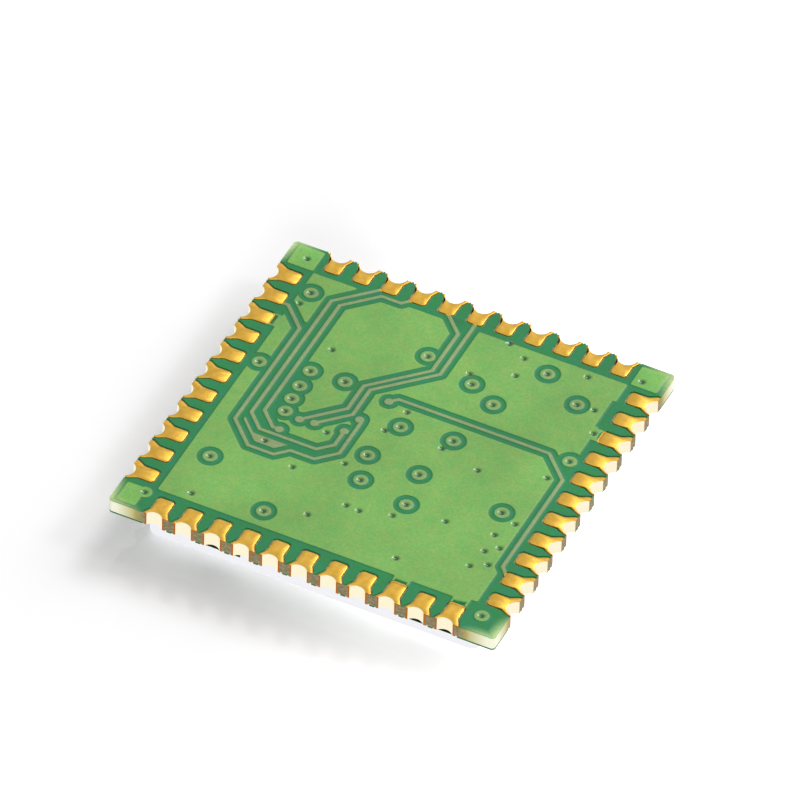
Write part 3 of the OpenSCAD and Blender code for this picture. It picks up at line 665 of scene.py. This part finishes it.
def film_mesh():
    """The ink film: a triangulated height map over the mask's outline, closed by walls and an underside."""
    cad = merged_copy("pad_side_mask")
    vias = via_centres()
    centres = KDTree(len(vias))
    for index, centre in enumerate(vias):
        centres.insert((*centre, 0), index)
    centres.balance()
    step_chains, outline = mask_lines(cad, centres)
    steps = [(pair, thin) for chain, thin in step_chains for pair in zip(chain, chain[1:])]
    step_walls = wall_tree([pair for pair, _ in steps])
    outline_walls = wall_tree(outline)
    all_walls = wall_tree([pair for pair, _ in steps] + outline)

    points, edges = [], []

    def add_line(line):
        """Adds a line that the triangles must follow."""
        first = len(points)
        points.extend(line[:-1] if line[0] == line[-1] else line)
        count = len(points) - first
        edges.extend((first + i, first + (i + 1) % count) for i in range(len(line) - 1))

    for start, end in outline:
        add_line([start, end])
    for chain, _ in step_chains:
        for distance in (-SLOPE_IN, SLOPE_OUT * SLOPE_MIDDLE_SHARE, SLOPE_OUT):
            line = beside_chain(all_walls, chain, distance)
            if chain[0] == chain[-1]:
                line[-1] = line[0]
            add_line(line)
    angles = [math.tau * i / DIMPLE_SIDES for i in range(DIMPLE_SIDES)]
    ways = [Vector((math.cos(angle), math.sin(angle))) for angle in angles]
    for centre in vias:
        hits = [outline_walls.ray_cast((*centre, 0), (*way, 0), 1)[3] for way in ways]
        rims = [min(DIMPLE_R, (hit or 1) - RIM_CLEAR) for hit in hits]
        for share in DIMPLE_RING_SHARES:
            ring = [centre + way * rim * share for way, rim in zip(ways, rims)]
            add_line(ring + ring[:1])
        points.append(centre)

    flat, _, triangles, _, _, _ = delaunay_2d_cdt(points, edges, [], 0, TRIANGLE_MATCH, False)
    cad_tree = BVHTree.FromBMesh(cad)
    cad.free()
    film = bmesh.new()
    layers = [film.verts.layers.float.new(name) for name in ("over_copper", "thin_copper", "over_via")]
    upper, lower = [], []
    middle_out = SLOPE_MIDDLE_SHARE * SLOPE_OUT
    for place in flat:
        nearest, right, index, distance = step_walls.find_nearest((*place, 0))
        beyond = distance if (place - nearest.xy).dot(right.xy) > 0 else -distance
        if beyond < middle_out:
            level = min(1.0, 0.5 + 0.5 * (middle_out - beyond) / (middle_out + SLOPE_IN))
        else:
            level = max(0.0, 0.5 - 0.5 * (beyond - middle_out) / (SLOPE_OUT - middle_out))
        from_via = centres.find((*place, 0))[2]
        depth = (1 + math.cos(math.pi * min(1.0, from_via / DIMPLE_R))) / 2
        top = MASK_TOP - MASK_DIP * (1 - level) - DIMPLE_DEPTH * depth
        upper.append(film.verts.new((*place, top)))
        lower.append(
            film.verts.new((*place, FOIL_BOTTOM + (FOIL_TOP - FOIL_BOTTOM) * level * (1 - depth)))
        )
        for vert in (upper[-1], lower[-1]):
            for layer, number in zip(layers, (level, steps[index][1], depth)):
                vert[layer] = number
    covered = set()
    for triangle in triangles:
        middle = sum((flat[i] for i in triangle), Vector((0, 0))) / 3
        hit = cad_tree.ray_cast((*middle, MASK_TOP + 1), (0, 0, -1))
        if hit[0] is None or hit[0].z < FOIL_BOTTOM - LEVEL_MATCH:
            continue
        film.faces.new([upper[i] for i in triangle])
        film.faces.new([lower[i] for i in reversed(triangle)])
        covered.update(zip(triangle, triangle[1:] + triangle[:1]))
    for a, b in covered:
        if (b, a) not in covered:
            film.faces.new((upper[b], upper[a], lower[a], lower[b]))
    bmesh.ops.delete(film, geom=[v for v in film.verts if not v.link_faces], context="VERTS")
    mesh = bpy.data.meshes.new("pad_side_mask")
    film.to_mesh(mesh)
    film.free()
    return mesh


mask_mesh = film_mesh()

# Green ink, semi-gloss: yellow-green over copper, deep green over laminate, dark and smooth where it
# pools in the vias, with painted shade there as well, and paler at the corners with painted light. Its
# grain is drawn coarser than the real one of about 0.01 mm.
MASK_GROUND_COLOUR = "#76AC52"
MASK_PATCH_COLOUR = "#78B856"
MASK_TRACE_COLOUR = "#879D68"
MASK_LAMINATE_COLOUR = "#027A40"
MASK_EDGE_COLOUR = "#006A3A"
MASK_VIA_INK_AND_SHADE_COLOUR = "#1C5C26"
MASK_CORNER_SHINE_COLOUR = "#C0DC94"
INK_CLOUD_MM, INK_MOTTLE_MM, INK_GRAIN_MM, INK_RELIEF_MM = 2.4, 0.35, 0.06, 0.0015
CLOUD_SPREAD, GRAIN_SPREAD, HUE_SPREAD = 0.13, 0.1, 0.015
INK_FLAT_ROUGHNESS, INK_BOWL_ROUGHNESS = 0.42, 0.12
# The patches' green, and the painted light in the corners: mm from the middle, along and across added
# up. The rim is the larger of the two.
PATCH_START, PATCH_END = 9.7, 10.9
SHINE_START, SHINE_END = 10.8, 11.6
RIM_START, RIM_END = 5.66, 5.96
ink, tree, shader, place = new_finish("green_mask_ink", {"IOR": 1.45})
under = add_node(tree, "ShaderNodeAttribute", attribute_name="over_copper").outputs["Fac"]
thin = add_node(tree, "ShaderNodeAttribute", attribute_name="thin_copper").outputs["Fac"]
over_via = add_node(tree, "ShaderNodeAttribute", attribute_name="over_via").outputs["Fac"]
cloud = add_node(
    tree, "ShaderNodeTexNoise", {"Vector": place, "Scale": 1 / (INK_CLOUD_MM * MM), "Detail": 3}
)
grain = add_node(
    tree, "ShaderNodeTexNoise", {"Vector": place, "Scale": 1 / (INK_GRAIN_MM * MM), "Detail": 2}
)
ground = add_node(
    tree,
    "ShaderNodeMix",
    {
        0: edge_share(tree, place, "ADD", PATCH_START, PATCH_END),
        6: linear(MASK_GROUND_COLOUR),
        7: linear(MASK_PATCH_COLOUR),
    },
    data_type="RGBA",
)
over_copper = add_node(
    tree,
    "ShaderNodeMix",
    {0: thin, 6: ground.outputs[2], 7: linear(MASK_TRACE_COLOUR)},
    data_type="RGBA",
)
slope_start = add_node(tree, "ShaderNodeMapRange", {"Value": under, "From Max": 0.5})
slope_end = add_node(tree, "ShaderNodeMapRange", {"Value": under, "From Min": 0.5, "From Max": 0.8})
beside = add_node(
    tree,
    "ShaderNodeMix",
    {0: slope_start.outputs[0], 6: linear(MASK_LAMINATE_COLOUR), 7: linear(MASK_EDGE_COLOUR)},
    data_type="RGBA",
)
ink_tone = add_node(
    tree,
    "ShaderNodeMix",
    {0: slope_end.outputs[0], 6: beside.outputs[2], 7: over_copper.outputs[2]},
    data_type="RGBA",
)
# Painted light: the ink turns paler at the corners, near the board's edges.
painted_corner_light = edge_share(tree, place, "ADD", SHINE_START, SHINE_END)
by_edge = edge_share(tree, place, "MAXIMUM", RIM_START, RIM_END)
corner_shine_near_edge = add_node(tree, "ShaderNodeMath", {0: painted_corner_light, 1: by_edge}, operation="MULTIPLY")
painted_corner_tone = add_node(
    tree,
    "ShaderNodeMix",
    {0: corner_shine_near_edge.outputs[0], 6: ink_tone.outputs[2], 7: linear(MASK_CORNER_SHINE_COLOUR)},
    data_type="RGBA",
)
# Darker in the vias: partly the thicker ink pooled there, partly painted shade of the hole under it.
pooled_and_shaded = add_node(tree, "ShaderNodeMapRange", {"Value": over_via, "From Min": 0.1, "From Max": 0.75})
pooled_and_shaded_tone = add_node(
    tree,
    "ShaderNodeMix",
    {0: pooled_and_shaded.outputs[0], 6: painted_corner_tone.outputs[2], 7: linear(MASK_VIA_INK_AND_SHADE_COLOUR)},
    data_type="RGBA",
)
gloss = add_node(
    tree,
    "ShaderNodeMapRange",
    {"Value": over_via, "From Max": 0.2, "To Min": INK_FLAT_ROUGHNESS, "To Max": INK_BOWL_ROUGHNESS},
)
tree.links.new(gloss.outputs[0], shader.inputs["Roughness"])
cloud_value = add_node(
    tree,
    "ShaderNodeMapRange",
    {
        "Value": cloud.outputs["Fac"],
        "From Min": 0.3,
        "From Max": 0.7,
        "To Min": 1 - CLOUD_SPREAD,
        "To Max": 1 + CLOUD_SPREAD,
    },
)
grain_value = add_node(
    tree,
    "ShaderNodeMapRange",
    {
        "Value": grain.outputs["Fac"],
        "From Min": 0.3,
        "From Max": 0.7,
        "To Min": 1 - GRAIN_SPREAD,
        "To Max": 1 + GRAIN_SPREAD,
    },
)
both_values = add_node(
    tree, "ShaderNodeMath", {0: cloud_value.outputs[0], 1: grain_value.outputs[0]}, operation="MULTIPLY"
)
mottle = add_node(
    tree, "ShaderNodeTexNoise", {"Vector": place, "Scale": 1 / (INK_MOTTLE_MM * MM), "Detail": 3}
)
hue = add_node(
    tree,
    "ShaderNodeMapRange",
    {
        "Value": mottle.outputs["Fac"],
        "From Min": 0.3,
        "From Max": 0.7,
        "To Min": 0.5 - HUE_SPREAD,
        "To Max": 0.5 + HUE_SPREAD,
    },
)
uneven = add_node(
    tree,
    "ShaderNodeHueSaturation",
    {"Color": pooled_and_shaded_tone.outputs[2], "Hue": hue.outputs[0], "Value": both_values.outputs[0]},
)
tree.links.new(uneven.outputs[0], shader.inputs["Base Color"])
relief = add_node(
    tree,
    "ShaderNodeBump",
    {"Height": grain.outputs["Fac"], "Distance": INK_RELIEF_MM * MM, "Strength": 0.5},
)
tree.links.new(relief.outputs[0], shader.inputs["Normal"])

mask_piece = new_object("pad_side_mask_ink", mask_mesh)
mask_mesh.materials.append(ink)
mask_mesh.shade_smooth()
mask_mesh.set_sharp_from_angle(angle=math.radians(50))
# Level ink keeps an upright normal right up to its slopes and bowls, so their shading stays on them.
normals = [corner.vector.copy() for corner in mask_mesh.corner_normals]
for face in mask_mesh.polygons:
    if face.normal.z > 0.9995:
        for corner in face.loop_indices:
            normals[corner] = Vector((0, 0, 1))
mask_mesh.normals_split_custom_set(normals)
finish_piece(mask_piece, "solder_mask", "pad_side_mask", sharp_degrees=0)

# Component-side solder mask.
# The same ink under the board, opened over the parts' lands and the can's frame. Little of it shows,
# as a rim outside the can and through the can's cut-outs.

# Green ink from below: semi-gloss and deep green, in soft clouds.
under_ink, tree, shader, place = new_finish("green_mask_ink_underside", {"Roughness": 0.36, "IOR": 1.45})
grain = add_node(
    tree, "ShaderNodeTexNoise", {"Vector": place, "Scale": 1 / (INK_CLOUD_MM * MM), "Detail": 6}
)
tone = add_node(
    tree,
    "ShaderNodeMix",
    {0: grain.outputs["Fac"], 6: linear(MASK_EDGE_COLOUR), 7: linear(MASK_LAMINATE_COLOUR)},
    data_type="RGBA",
)
tree.links.new(tone.outputs[2], shader.inputs["Base Color"])
dress("component_side_mask", under_ink)

# Shield can.
# One tinned steel sheet folded into a tray that hangs under the board, with a slit beside each corner
# and its walls cut away between the soldered feet.

CAN_SHEET = 0.12
CAN_BEND = 0.15
CAN_CORNER = 0.3
CAN_SILL = 0.39
CAN_SLIT = 0.1
CAN_SLIT_DEPTH = 0.25
WINDOW_SHARES = ((-0.66, -0.43), (0.57, 0.89))
CUT_REACH = 0.2
CUT_ROUND = 0.015
CAN_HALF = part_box("shield_can")[1].x / MM
CAN_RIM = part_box("shield_can")[1].z / MM


def box_into(solid, low, high):
    """Adds a closed box between two corners."""
    made = bmesh.ops.create_cube(solid, size=1)
    size = Vector(high) - Vector(low)
    bmesh.ops.scale(solid, vec=size, verts=made["verts"])
    bmesh.ops.translate(solid, vec=(Vector(high) + Vector(low)) / 2, verts=made["verts"])
    return made["verts"]


def can_tray():
    """The folded tray: a box with rounded uprights and a rounded face edge, open towards the board."""
    tray = bmesh.new()
    box_into(tray, (-CAN_HALF, -CAN_HALF, 0), (CAN_HALF, CAN_HALF, CAN_RIM))
    uprights = [e for e in tray.edges if abs(e.verts[0].co.z - e.verts[1].co.z) > CAN_RIM / 2]
    bmesh.ops.bevel(tray, geom=uprights, offset=CAN_CORNER, segments=10, profile=0.5, affect="EDGES")
    face_edges = [e for e in tray.edges if all(abs(v.co.z) < LEVEL_MATCH for v in e.verts)]
    bmesh.ops.bevel(tray, geom=face_edges, offset=CAN_BEND, segments=8, profile=0.5, affect="EDGES")
    lid = [f for f in tray.faces if f.normal.z > LOOKS_UP]
    bmesh.ops.delete(tray, geom=lid, context="FACES")
    mesh = bpy.data.meshes.new("shield_can_sheet")
    tray.to_mesh(mesh)
    tray.free()
    return mesh


def can_cuts():
    """Boxes through all four walls where the windows and the corner slits are."""
    cuts = bmesh.new()
    for side in range(4):
        turn = Matrix.Rotation(math.radians(90 * side), 3, "Z")
        boxes = [(a * CAN_HALF, b * CAN_HALF, CAN_SILL) for a, b in WINDOW_SHARES]
        boxes.append((CAN_HALF - CAN_CORNER, CAN_HALF - CAN_CORNER + CAN_SLIT, CAN_RIM - CAN_SLIT_DEPTH))
        for left, right, bottom in boxes:
            low = (left, -CAN_HALF - CUT_REACH, bottom)
            high = (right, -CAN_HALF + CUT_REACH, CAN_RIM + CUT_REACH)
            verts = box_into(cuts, low, high)
            bmesh.ops.rotate(cuts, cent=(0, 0, 0), matrix=turn, verts=verts)
    mesh = bpy.data.meshes.new("can_cuts")
    cuts.to_mesh(mesh)
    cuts.free()
    return mesh


# Tinned steel, rolled: pale bluish white metal with fine roller lines along X, drawn coarser than the
# real ones of about 0.01 mm.
TIN_COLOUR, TIN_DULL_COLOUR = "#FAFAFC", "#EDEDF3"
ROLL_LINE_MM, ROLL_LINE_STRETCH, ROLL_RELIEF_MM = 0.03, 25, 0.001
tinned_steel, tree, shader, place = new_finish(
    "rolled_tinned_steel", {"Metallic": 1.0, "Roughness": 0.3}
)
along = add_node(tree, "ShaderNodeMapping", {"Vector": place, "Scale": (1 / ROLL_LINE_STRETCH, 1, 1)})
lines = add_node(
    tree,
    "ShaderNodeTexNoise",
    {"Vector": along.outputs[0], "Scale": 1 / (ROLL_LINE_MM * MM), "Detail": 3},
)
tone = add_node(
    tree,
    "ShaderNodeMix",
    {0: lines.outputs["Fac"], 6: linear(TIN_DULL_COLOUR), 7: linear(TIN_COLOUR)},
    data_type="RGBA",
)
tree.links.new(tone.outputs[2], shader.inputs["Base Color"])
relief = add_node(
    tree,
    "ShaderNodeBump",
    {"Height": lines.outputs["Fac"], "Distance": ROLL_RELIEF_MM * MM, "Strength": 0.4},
)
tree.links.new(relief.outputs[0], shader.inputs["Normal"])

can = new_object("shield_can_sheet", can_tray())
can.data.materials.append(tinned_steel)
sheet = can.modifiers.new("sheet", "SOLIDIFY")
sheet.thickness = CAN_SHEET
sheet.offset = -1
sheet.use_even_offset = True
cutter = new_object("can_cuts", can_cuts())
cut = can.modifiers.new("cut", "BOOLEAN")
cut.operation = "DIFFERENCE"
cut.object = cutter
cut.solver = "EXACT"
burr = can.modifiers.new("rounded_cuts", "BEVEL")
burr.width = CUT_ROUND
burr.segments = 2
burr.limit_method = "ANGLE"
burr.angle_limit = math.radians(50)
keep_modified(can)
bpy.data.objects.remove(cutter)
finish_piece(can, "tinned_steel", "shield_can")

# Solder under the can's feet and under the parts.
# Reflowed tin alloy that wets the can's rim and each part's ends and freezes with rounded edges.

SHARP_EDGE = math.radians(40)
FLAT_JOINT = math.radians(0.5)


def rounded_copy(name, nodes, material, slot, edge_round):
    """A piece that stands for CAD nodes, with the same shape and its sharp edges rounded."""
    whole = bmesh.new()
    for node_name in nodes:
        part = merged_copy(node_name)
        bmesh.ops.dissolve_limit(part, angle_limit=FLAT_JOINT, verts=part.verts, edges=part.edges)
        kept = bpy.data.meshes.new(node_name)
        part.to_mesh(kept)
        part.free()
        whole.from_mesh(kept)
        bpy.data.meshes.remove(kept)
    if edge_round:
        shared = [e for e in whole.edges if len(e.link_faces) == 2]
        sharp = [e for e in shared if e.calc_face_angle() > SHARP_EDGE]
        bmesh.ops.bevel(whole, geom=sharp, offset=edge_round, segments=2, profile=0.5, affect="EDGES")
    mesh = bpy.data.meshes.new(name)
    whole.to_mesh(mesh)
    whole.free()
    mesh.materials.append(material)
    finish_piece(new_object(name, mesh), slot, *nodes)


def grained_finish(name, colour, other_colour, grain_mm, relief_mm, inputs):
    """A finish of two close tones in a grain, drawn coarser than the real few microns, with its relief."""
    material, tree, shader, place = new_finish(name, inputs)
    grain = add_node(
        tree, "ShaderNodeTexNoise", {"Vector": place, "Scale": 1 / (grain_mm * MM), "Detail": 4}
    )
    tone = add_node(
        tree,
        "ShaderNodeMix",
        {0: grain.outputs["Fac"], 6: linear(colour), 7: linear(other_colour)},
        data_type="RGBA",
    )
    relief = add_node(
        tree,
        "ShaderNodeBump",
        {"Height": grain.outputs["Fac"], "Distance": relief_mm * MM, "Strength": 0.6},
    )
    tree.links.new(tone.outputs[2], shader.inputs["Base Color"])
    tree.links.new(relief.outputs[0], shader.inputs["Normal"])
    return material


# Reflowed solder: bright grey metal, slightly frosted.
solder = grained_finish(
    "reflowed_solder",
    "#B9BDC4",
    "#DADDE2",
    grain_mm=0.06,
    relief_mm=0.003,
    inputs={"Metallic": 1.0, "Roughness": 0.28},
)
rounded_copy("can_solder", ["shield_solder"], solder, "solder", edge_round=0.012)
rounded_copy(
    "chip_pad_solder",
    ["transceiver_pads", "power_amplifier_pads", "crystal_and_filter_pads", "small_part_solder"],
    solder,
    "solder",
    edge_round=0.008,
)
rounded_copy(
    "solder_balls",
    ["baseband_balls", "memory_balls", "power_management_balls"],
    solder,
    "solder",
    edge_round=0,
)

# Chips.
# Dies moulded in black epoxy and sawn into square blocks, soldered face down under the board.

# Moulding compound: dark grey, matt, with a fine grit from the filler.
chip_mould = grained_finish(
    "black_mould_compound",
    "#1E1E21",
    "#2E2E32",
    grain_mm=0.04,
    relief_mm=0.002,
    inputs={"Roughness": 0.6, "IOR": 1.5},
)
rounded_copy(
    "moulded_chips",
    ["baseband_chip", "memory_chip", "power_management_chip", "transceiver_chip", "power_amplifier"],
    chip_mould,
    "chip_mould",
    edge_round=0.015,
)

# Crystal and filters.
# Small ceramic packages: the crystal's with a welded metal lid, the filters' plain.

# Fired alumina under the crystal: brown, matt and even.
brown_ceramic = grained_finish(
    "brown_alumina",
    "#4A4038",
    "#5C5147",
    grain_mm=0.03,
    relief_mm=0.001,
    inputs={"Roughness": 0.5, "IOR": 1.6},
)
rounded_copy("crystal_base_block", ["crystal_base"], brown_ceramic, "brown_ceramic", edge_round=0.02)
# Nickel on the welded lid: warm pale metal, satin.
lid_metal = grained_finish(
    "nickel_plated_lid",
    "#B9B199",
    "#D6CFB6",
    grain_mm=0.05,
    relief_mm=0.001,
    inputs={"Metallic": 1.0, "Roughness": 0.3},
)
rounded_copy("crystal_lid_plate", ["crystal_lid"], lid_metal, "lid_metal", edge_round=0.02)
# The filters' alumina: off-white, matt and even.
pale_ceramic = grained_finish(
    "pale_alumina",
    "#BDB7AA",
    "#CFCABF",
    grain_mm=0.03,
    relief_mm=0.001,
    inputs={"Roughness": 0.5, "IOR": 1.6},
)
rounded_copy("filter_blocks", ["surface_wave_filters"], pale_ceramic, "pale_ceramic", edge_round=0.02)

# Inductors, capacitors and resistors.
# Sintered or fired blocks with their ends dipped in metal and plated with tin.

# Ferrite: dark grey and slightly glossy.
ferrite = grained_finish(
    "sintered_ferrite",
    "#3A3A3C",
    "#4C4C50",
    grain_mm=0.03,
    relief_mm=0.001,
    inputs={"Roughness": 0.45, "IOR": 1.6},
)
rounded_copy("inductor_blocks", ["inductor_bodies"], ferrite, "ferrite", edge_round=0.02)
# Titanate ceramic of the capacitors: tan and matt.
titanate = grained_finish(
    "tan_capacitor_ceramic",
    "#94774F",
    "#AD8F66",
    grain_mm=0.03,
    relief_mm=0.001,
    inputs={"Roughness": 0.5, "IOR": 1.6},
)
rounded_copy("capacitor_blocks", ["capacitor_bodies"], titanate, "brown_ceramic", edge_round=0.02)
# Glaze over the resistors' film: black glass.
glaze = grained_finish(
    "black_resistor_glaze",
    "#141416",
    "#222226",
    grain_mm=0.03,
    relief_mm=0.001,
    inputs={"Roughness": 0.25, "IOR": 1.5},
)
rounded_copy("resistor_blocks", ["resistor_bodies"], glaze, "resistor_glaze", edge_round=0.01)
# Tin-plated ends: pale satin metal.
tin = grained_finish(
    "matt_tin_plating",
    "#C4C4C8",
    "#DEDEE2",
    grain_mm=0.03,
    relief_mm=0.001,
    inputs={"Metallic": 1.0, "Roughness": 0.38},
)
rounded_copy(
    "tinned_ends",
    ["inductor_terminals", "capacitor_terminals", "resistor_terminals"],
    tin,
    "tin_plating",
    edge_round=0.006,
)

# Table.
# A glossy sheet of opal glass under the module, lit from below towards the right and the front, which
# keeps the module's shadow. Reflections see it plain white. It is clear from below and to other light.

TABLE_HALF = 0.4
TABLE_DROP = 0.00001
TABLE_COLOUR = "#FAF9FA"
# The glow grows between these two places, in mm from the middle of the board.
GLOW_START, GLOW_END = (-2.0, -8.0), (6.0, -6.0)
GLOW_LEAST, GLOW_MOST = 0.13, 0.6

table_mesh = bpy.data.meshes.new("table")
corners = [(x * TABLE_HALF, y * TABLE_HALF, 0) for x, y in ((-1, -1), (1, -1), (1, 1), (-1, 1))]
table_mesh.from_pydata(corners, [], [(0, 1, 2, 3)])
table_mesh.transform(Matrix.Translation((0, 0, -TABLE_DROP)))
table = new_object("table", table_mesh)
# Opal glass: glossy white, brighter where the light under it is stronger.
table_white, tree, shader, place = new_finish("glossy_white_table", {"Roughness": 0.02, "IOR": 1.5})
shader.inputs["Base Color"].default_value = linear(TABLE_COLOUR)
shader.inputs["Emission Color"].default_value = (1, 1, 1, 1)
glow_run = Vector(GLOW_END) - Vector(GLOW_START)
glow_way = glow_run / glow_run.length_squared / MM
glow_zero = (*(Vector(GLOW_START) * MM), 0)
from_start = add_node(tree, "ShaderNodeVectorMath", {0: place, 1: glow_zero}, operation="SUBTRACT")
glow_share = add_node(
    tree, "ShaderNodeVectorMath", {0: from_start.outputs[0], 1: (*glow_way, 0)}, operation="DOT_PRODUCT"
)
glow = add_node(
    tree,
    "ShaderNodeMapRange",
    {"Value": glow_share.outputs["Value"], "To Min": GLOW_LEAST, "To Max": GLOW_MOST},
    interpolation_type="SMOOTHSTEP",
)
tree.links.new(glow.outputs[0], shader.inputs["Emission Strength"])
path = add_node(tree, "ShaderNodeLightPath")
reflected = add_node(
    tree,
    "ShaderNodeMath",
    {0: path.outputs["Is Glossy Ray"], 1: path.outputs["Is Transmission Ray"]},
    operation="ADD",
)
facing = add_node(tree, "ShaderNodeNewGeometry")
from_above = add_node(
    tree, "ShaderNodeMath", {0: 1, 1: facing.outputs["Backfacing"]}, operation="SUBTRACT"
)
seen = add_node(
    tree,
    "ShaderNodeMath",
    {0: path.outputs["Is Camera Ray"], 1: from_above.outputs[0]},
    operation="MULTIPLY",
)
mirrored = add_node(
    tree, "ShaderNodeMath", {0: reflected.outputs[0], 1: from_above.outputs[0]}, operation="MULTIPLY"
)
clear = add_node(tree, "ShaderNodeBsdfTransparent")
plain_white = add_node(tree, "ShaderNodeEmission", {"Color": (1, 1, 1, 1), "Strength": 1.0})
not_seen = add_node(
    tree, "ShaderNodeMixShader", {0: mirrored.outputs[0], 1: clear.outputs[0], 2: plain_white.outputs[0]}
)
mixed = add_node(
    tree, "ShaderNodeMixShader", {0: seen.outputs[0], 1: not_seen.outputs[0], 2: shader.outputs[0]}
)
output = next(n for n in tree.nodes if n.type == "OUTPUT_MATERIAL")
tree.links.new(mixed.outputs[0], output.inputs["Surface"])
table_mesh.materials.append(table_white)

# Light.
# A white studio: even light from all round and four soft boxes. The key stands behind and a low, wide
# one to its right, so the shadow falls to the front left; the others light the right and the front.

world = bpy.data.worlds.new("white_studio")
scene.world = world
world.use_nodes = True
tree = world.node_tree
tree.nodes.clear()
path = add_node(tree, "ShaderNodeLightPath")
seen = add_node(
    tree,
    "ShaderNodeMath",
    {0: path.outputs["Is Camera Ray"], 1: path.outputs["Is Glossy Ray"]},
    operation="ADD",
)
seen_or_through = add_node(
    tree,
    "ShaderNodeMath",
    {0: seen.outputs[0], 1: path.outputs["Is Transmission Ray"]},
    operation="ADD",
    use_clamp=True,
)
FILL_STRENGTH = 0.31
strength = add_node(
    tree,
    "ShaderNodeMapRange",
    {"Value": seen_or_through.outputs[0], "To Min": FILL_STRENGTH, "To Max": 1.0},
)
sky = add_node(tree, "ShaderNodeBackground", {"Color": (1, 1, 1, 1), "Strength": strength.outputs[0]})
add_node(tree, "ShaderNodeOutputWorld", {"Surface": sky.outputs[0]})


def soft_box(name, place, size, share):
    """A square area lamp that gives a white surface facing it at the module this share of white."""
    lamp = bpy.data.lights.new(name, "AREA")
    lamp.size = size
    lamp.energy = share * (math.pi * Vector(place).length) ** 2
    holder = bpy.data.objects.new(name, lamp)
    holder.location = place
    holder.rotation_euler = Vector(place).to_track_quat("Z", "Y").to_euler()
    scene.collection.objects.link(holder)


soft_box("soft_box_key", place=(0.055, 0.232, 0.256), size=0.12, share=0.36)
soft_box("soft_box_low", place=(0.2, 0.3, 0.15), size=0.3, share=0.48)
soft_box("soft_box_right", place=(0.215, 0.1, 0.23), size=0.06, share=0.12)
soft_box("soft_box_front", place=(0.1, -0.24, 0.1), size=0.15, share=0.5)

# Camera.
# A long lens from the front right, as in the photograph: place, aim and roll were solved from three
# edges of each of the 44 lands.

CAMERA_PLACE = (0.12421, -0.27175, 0.29309)
CAMERA_AIM = (-0.000484, 0.001407, 0.00165)
CAMERA_ROLL = 2.08
FOCAL_LENGTH = 670.05

camera_data = bpy.data.cameras.new("camera")
camera_data.lens = FOCAL_LENGTH
camera_data.sensor_width = 36
camera_data.clip_start = 0.01
camera = bpy.data.objects.new("camera", camera_data)
camera.location = CAMERA_PLACE
look = (Vector(CAMERA_AIM) - Vector(CAMERA_PLACE)).to_track_quat("-Z", "Y")
roll = Matrix.Rotation(math.radians(CAMERA_ROLL), 3, "Z").to_quaternion()
camera.rotation_mode = "QUATERNION"
camera.rotation_quaternion = look @ roll
scene.collection.objects.link(camera)
scene.camera = camera
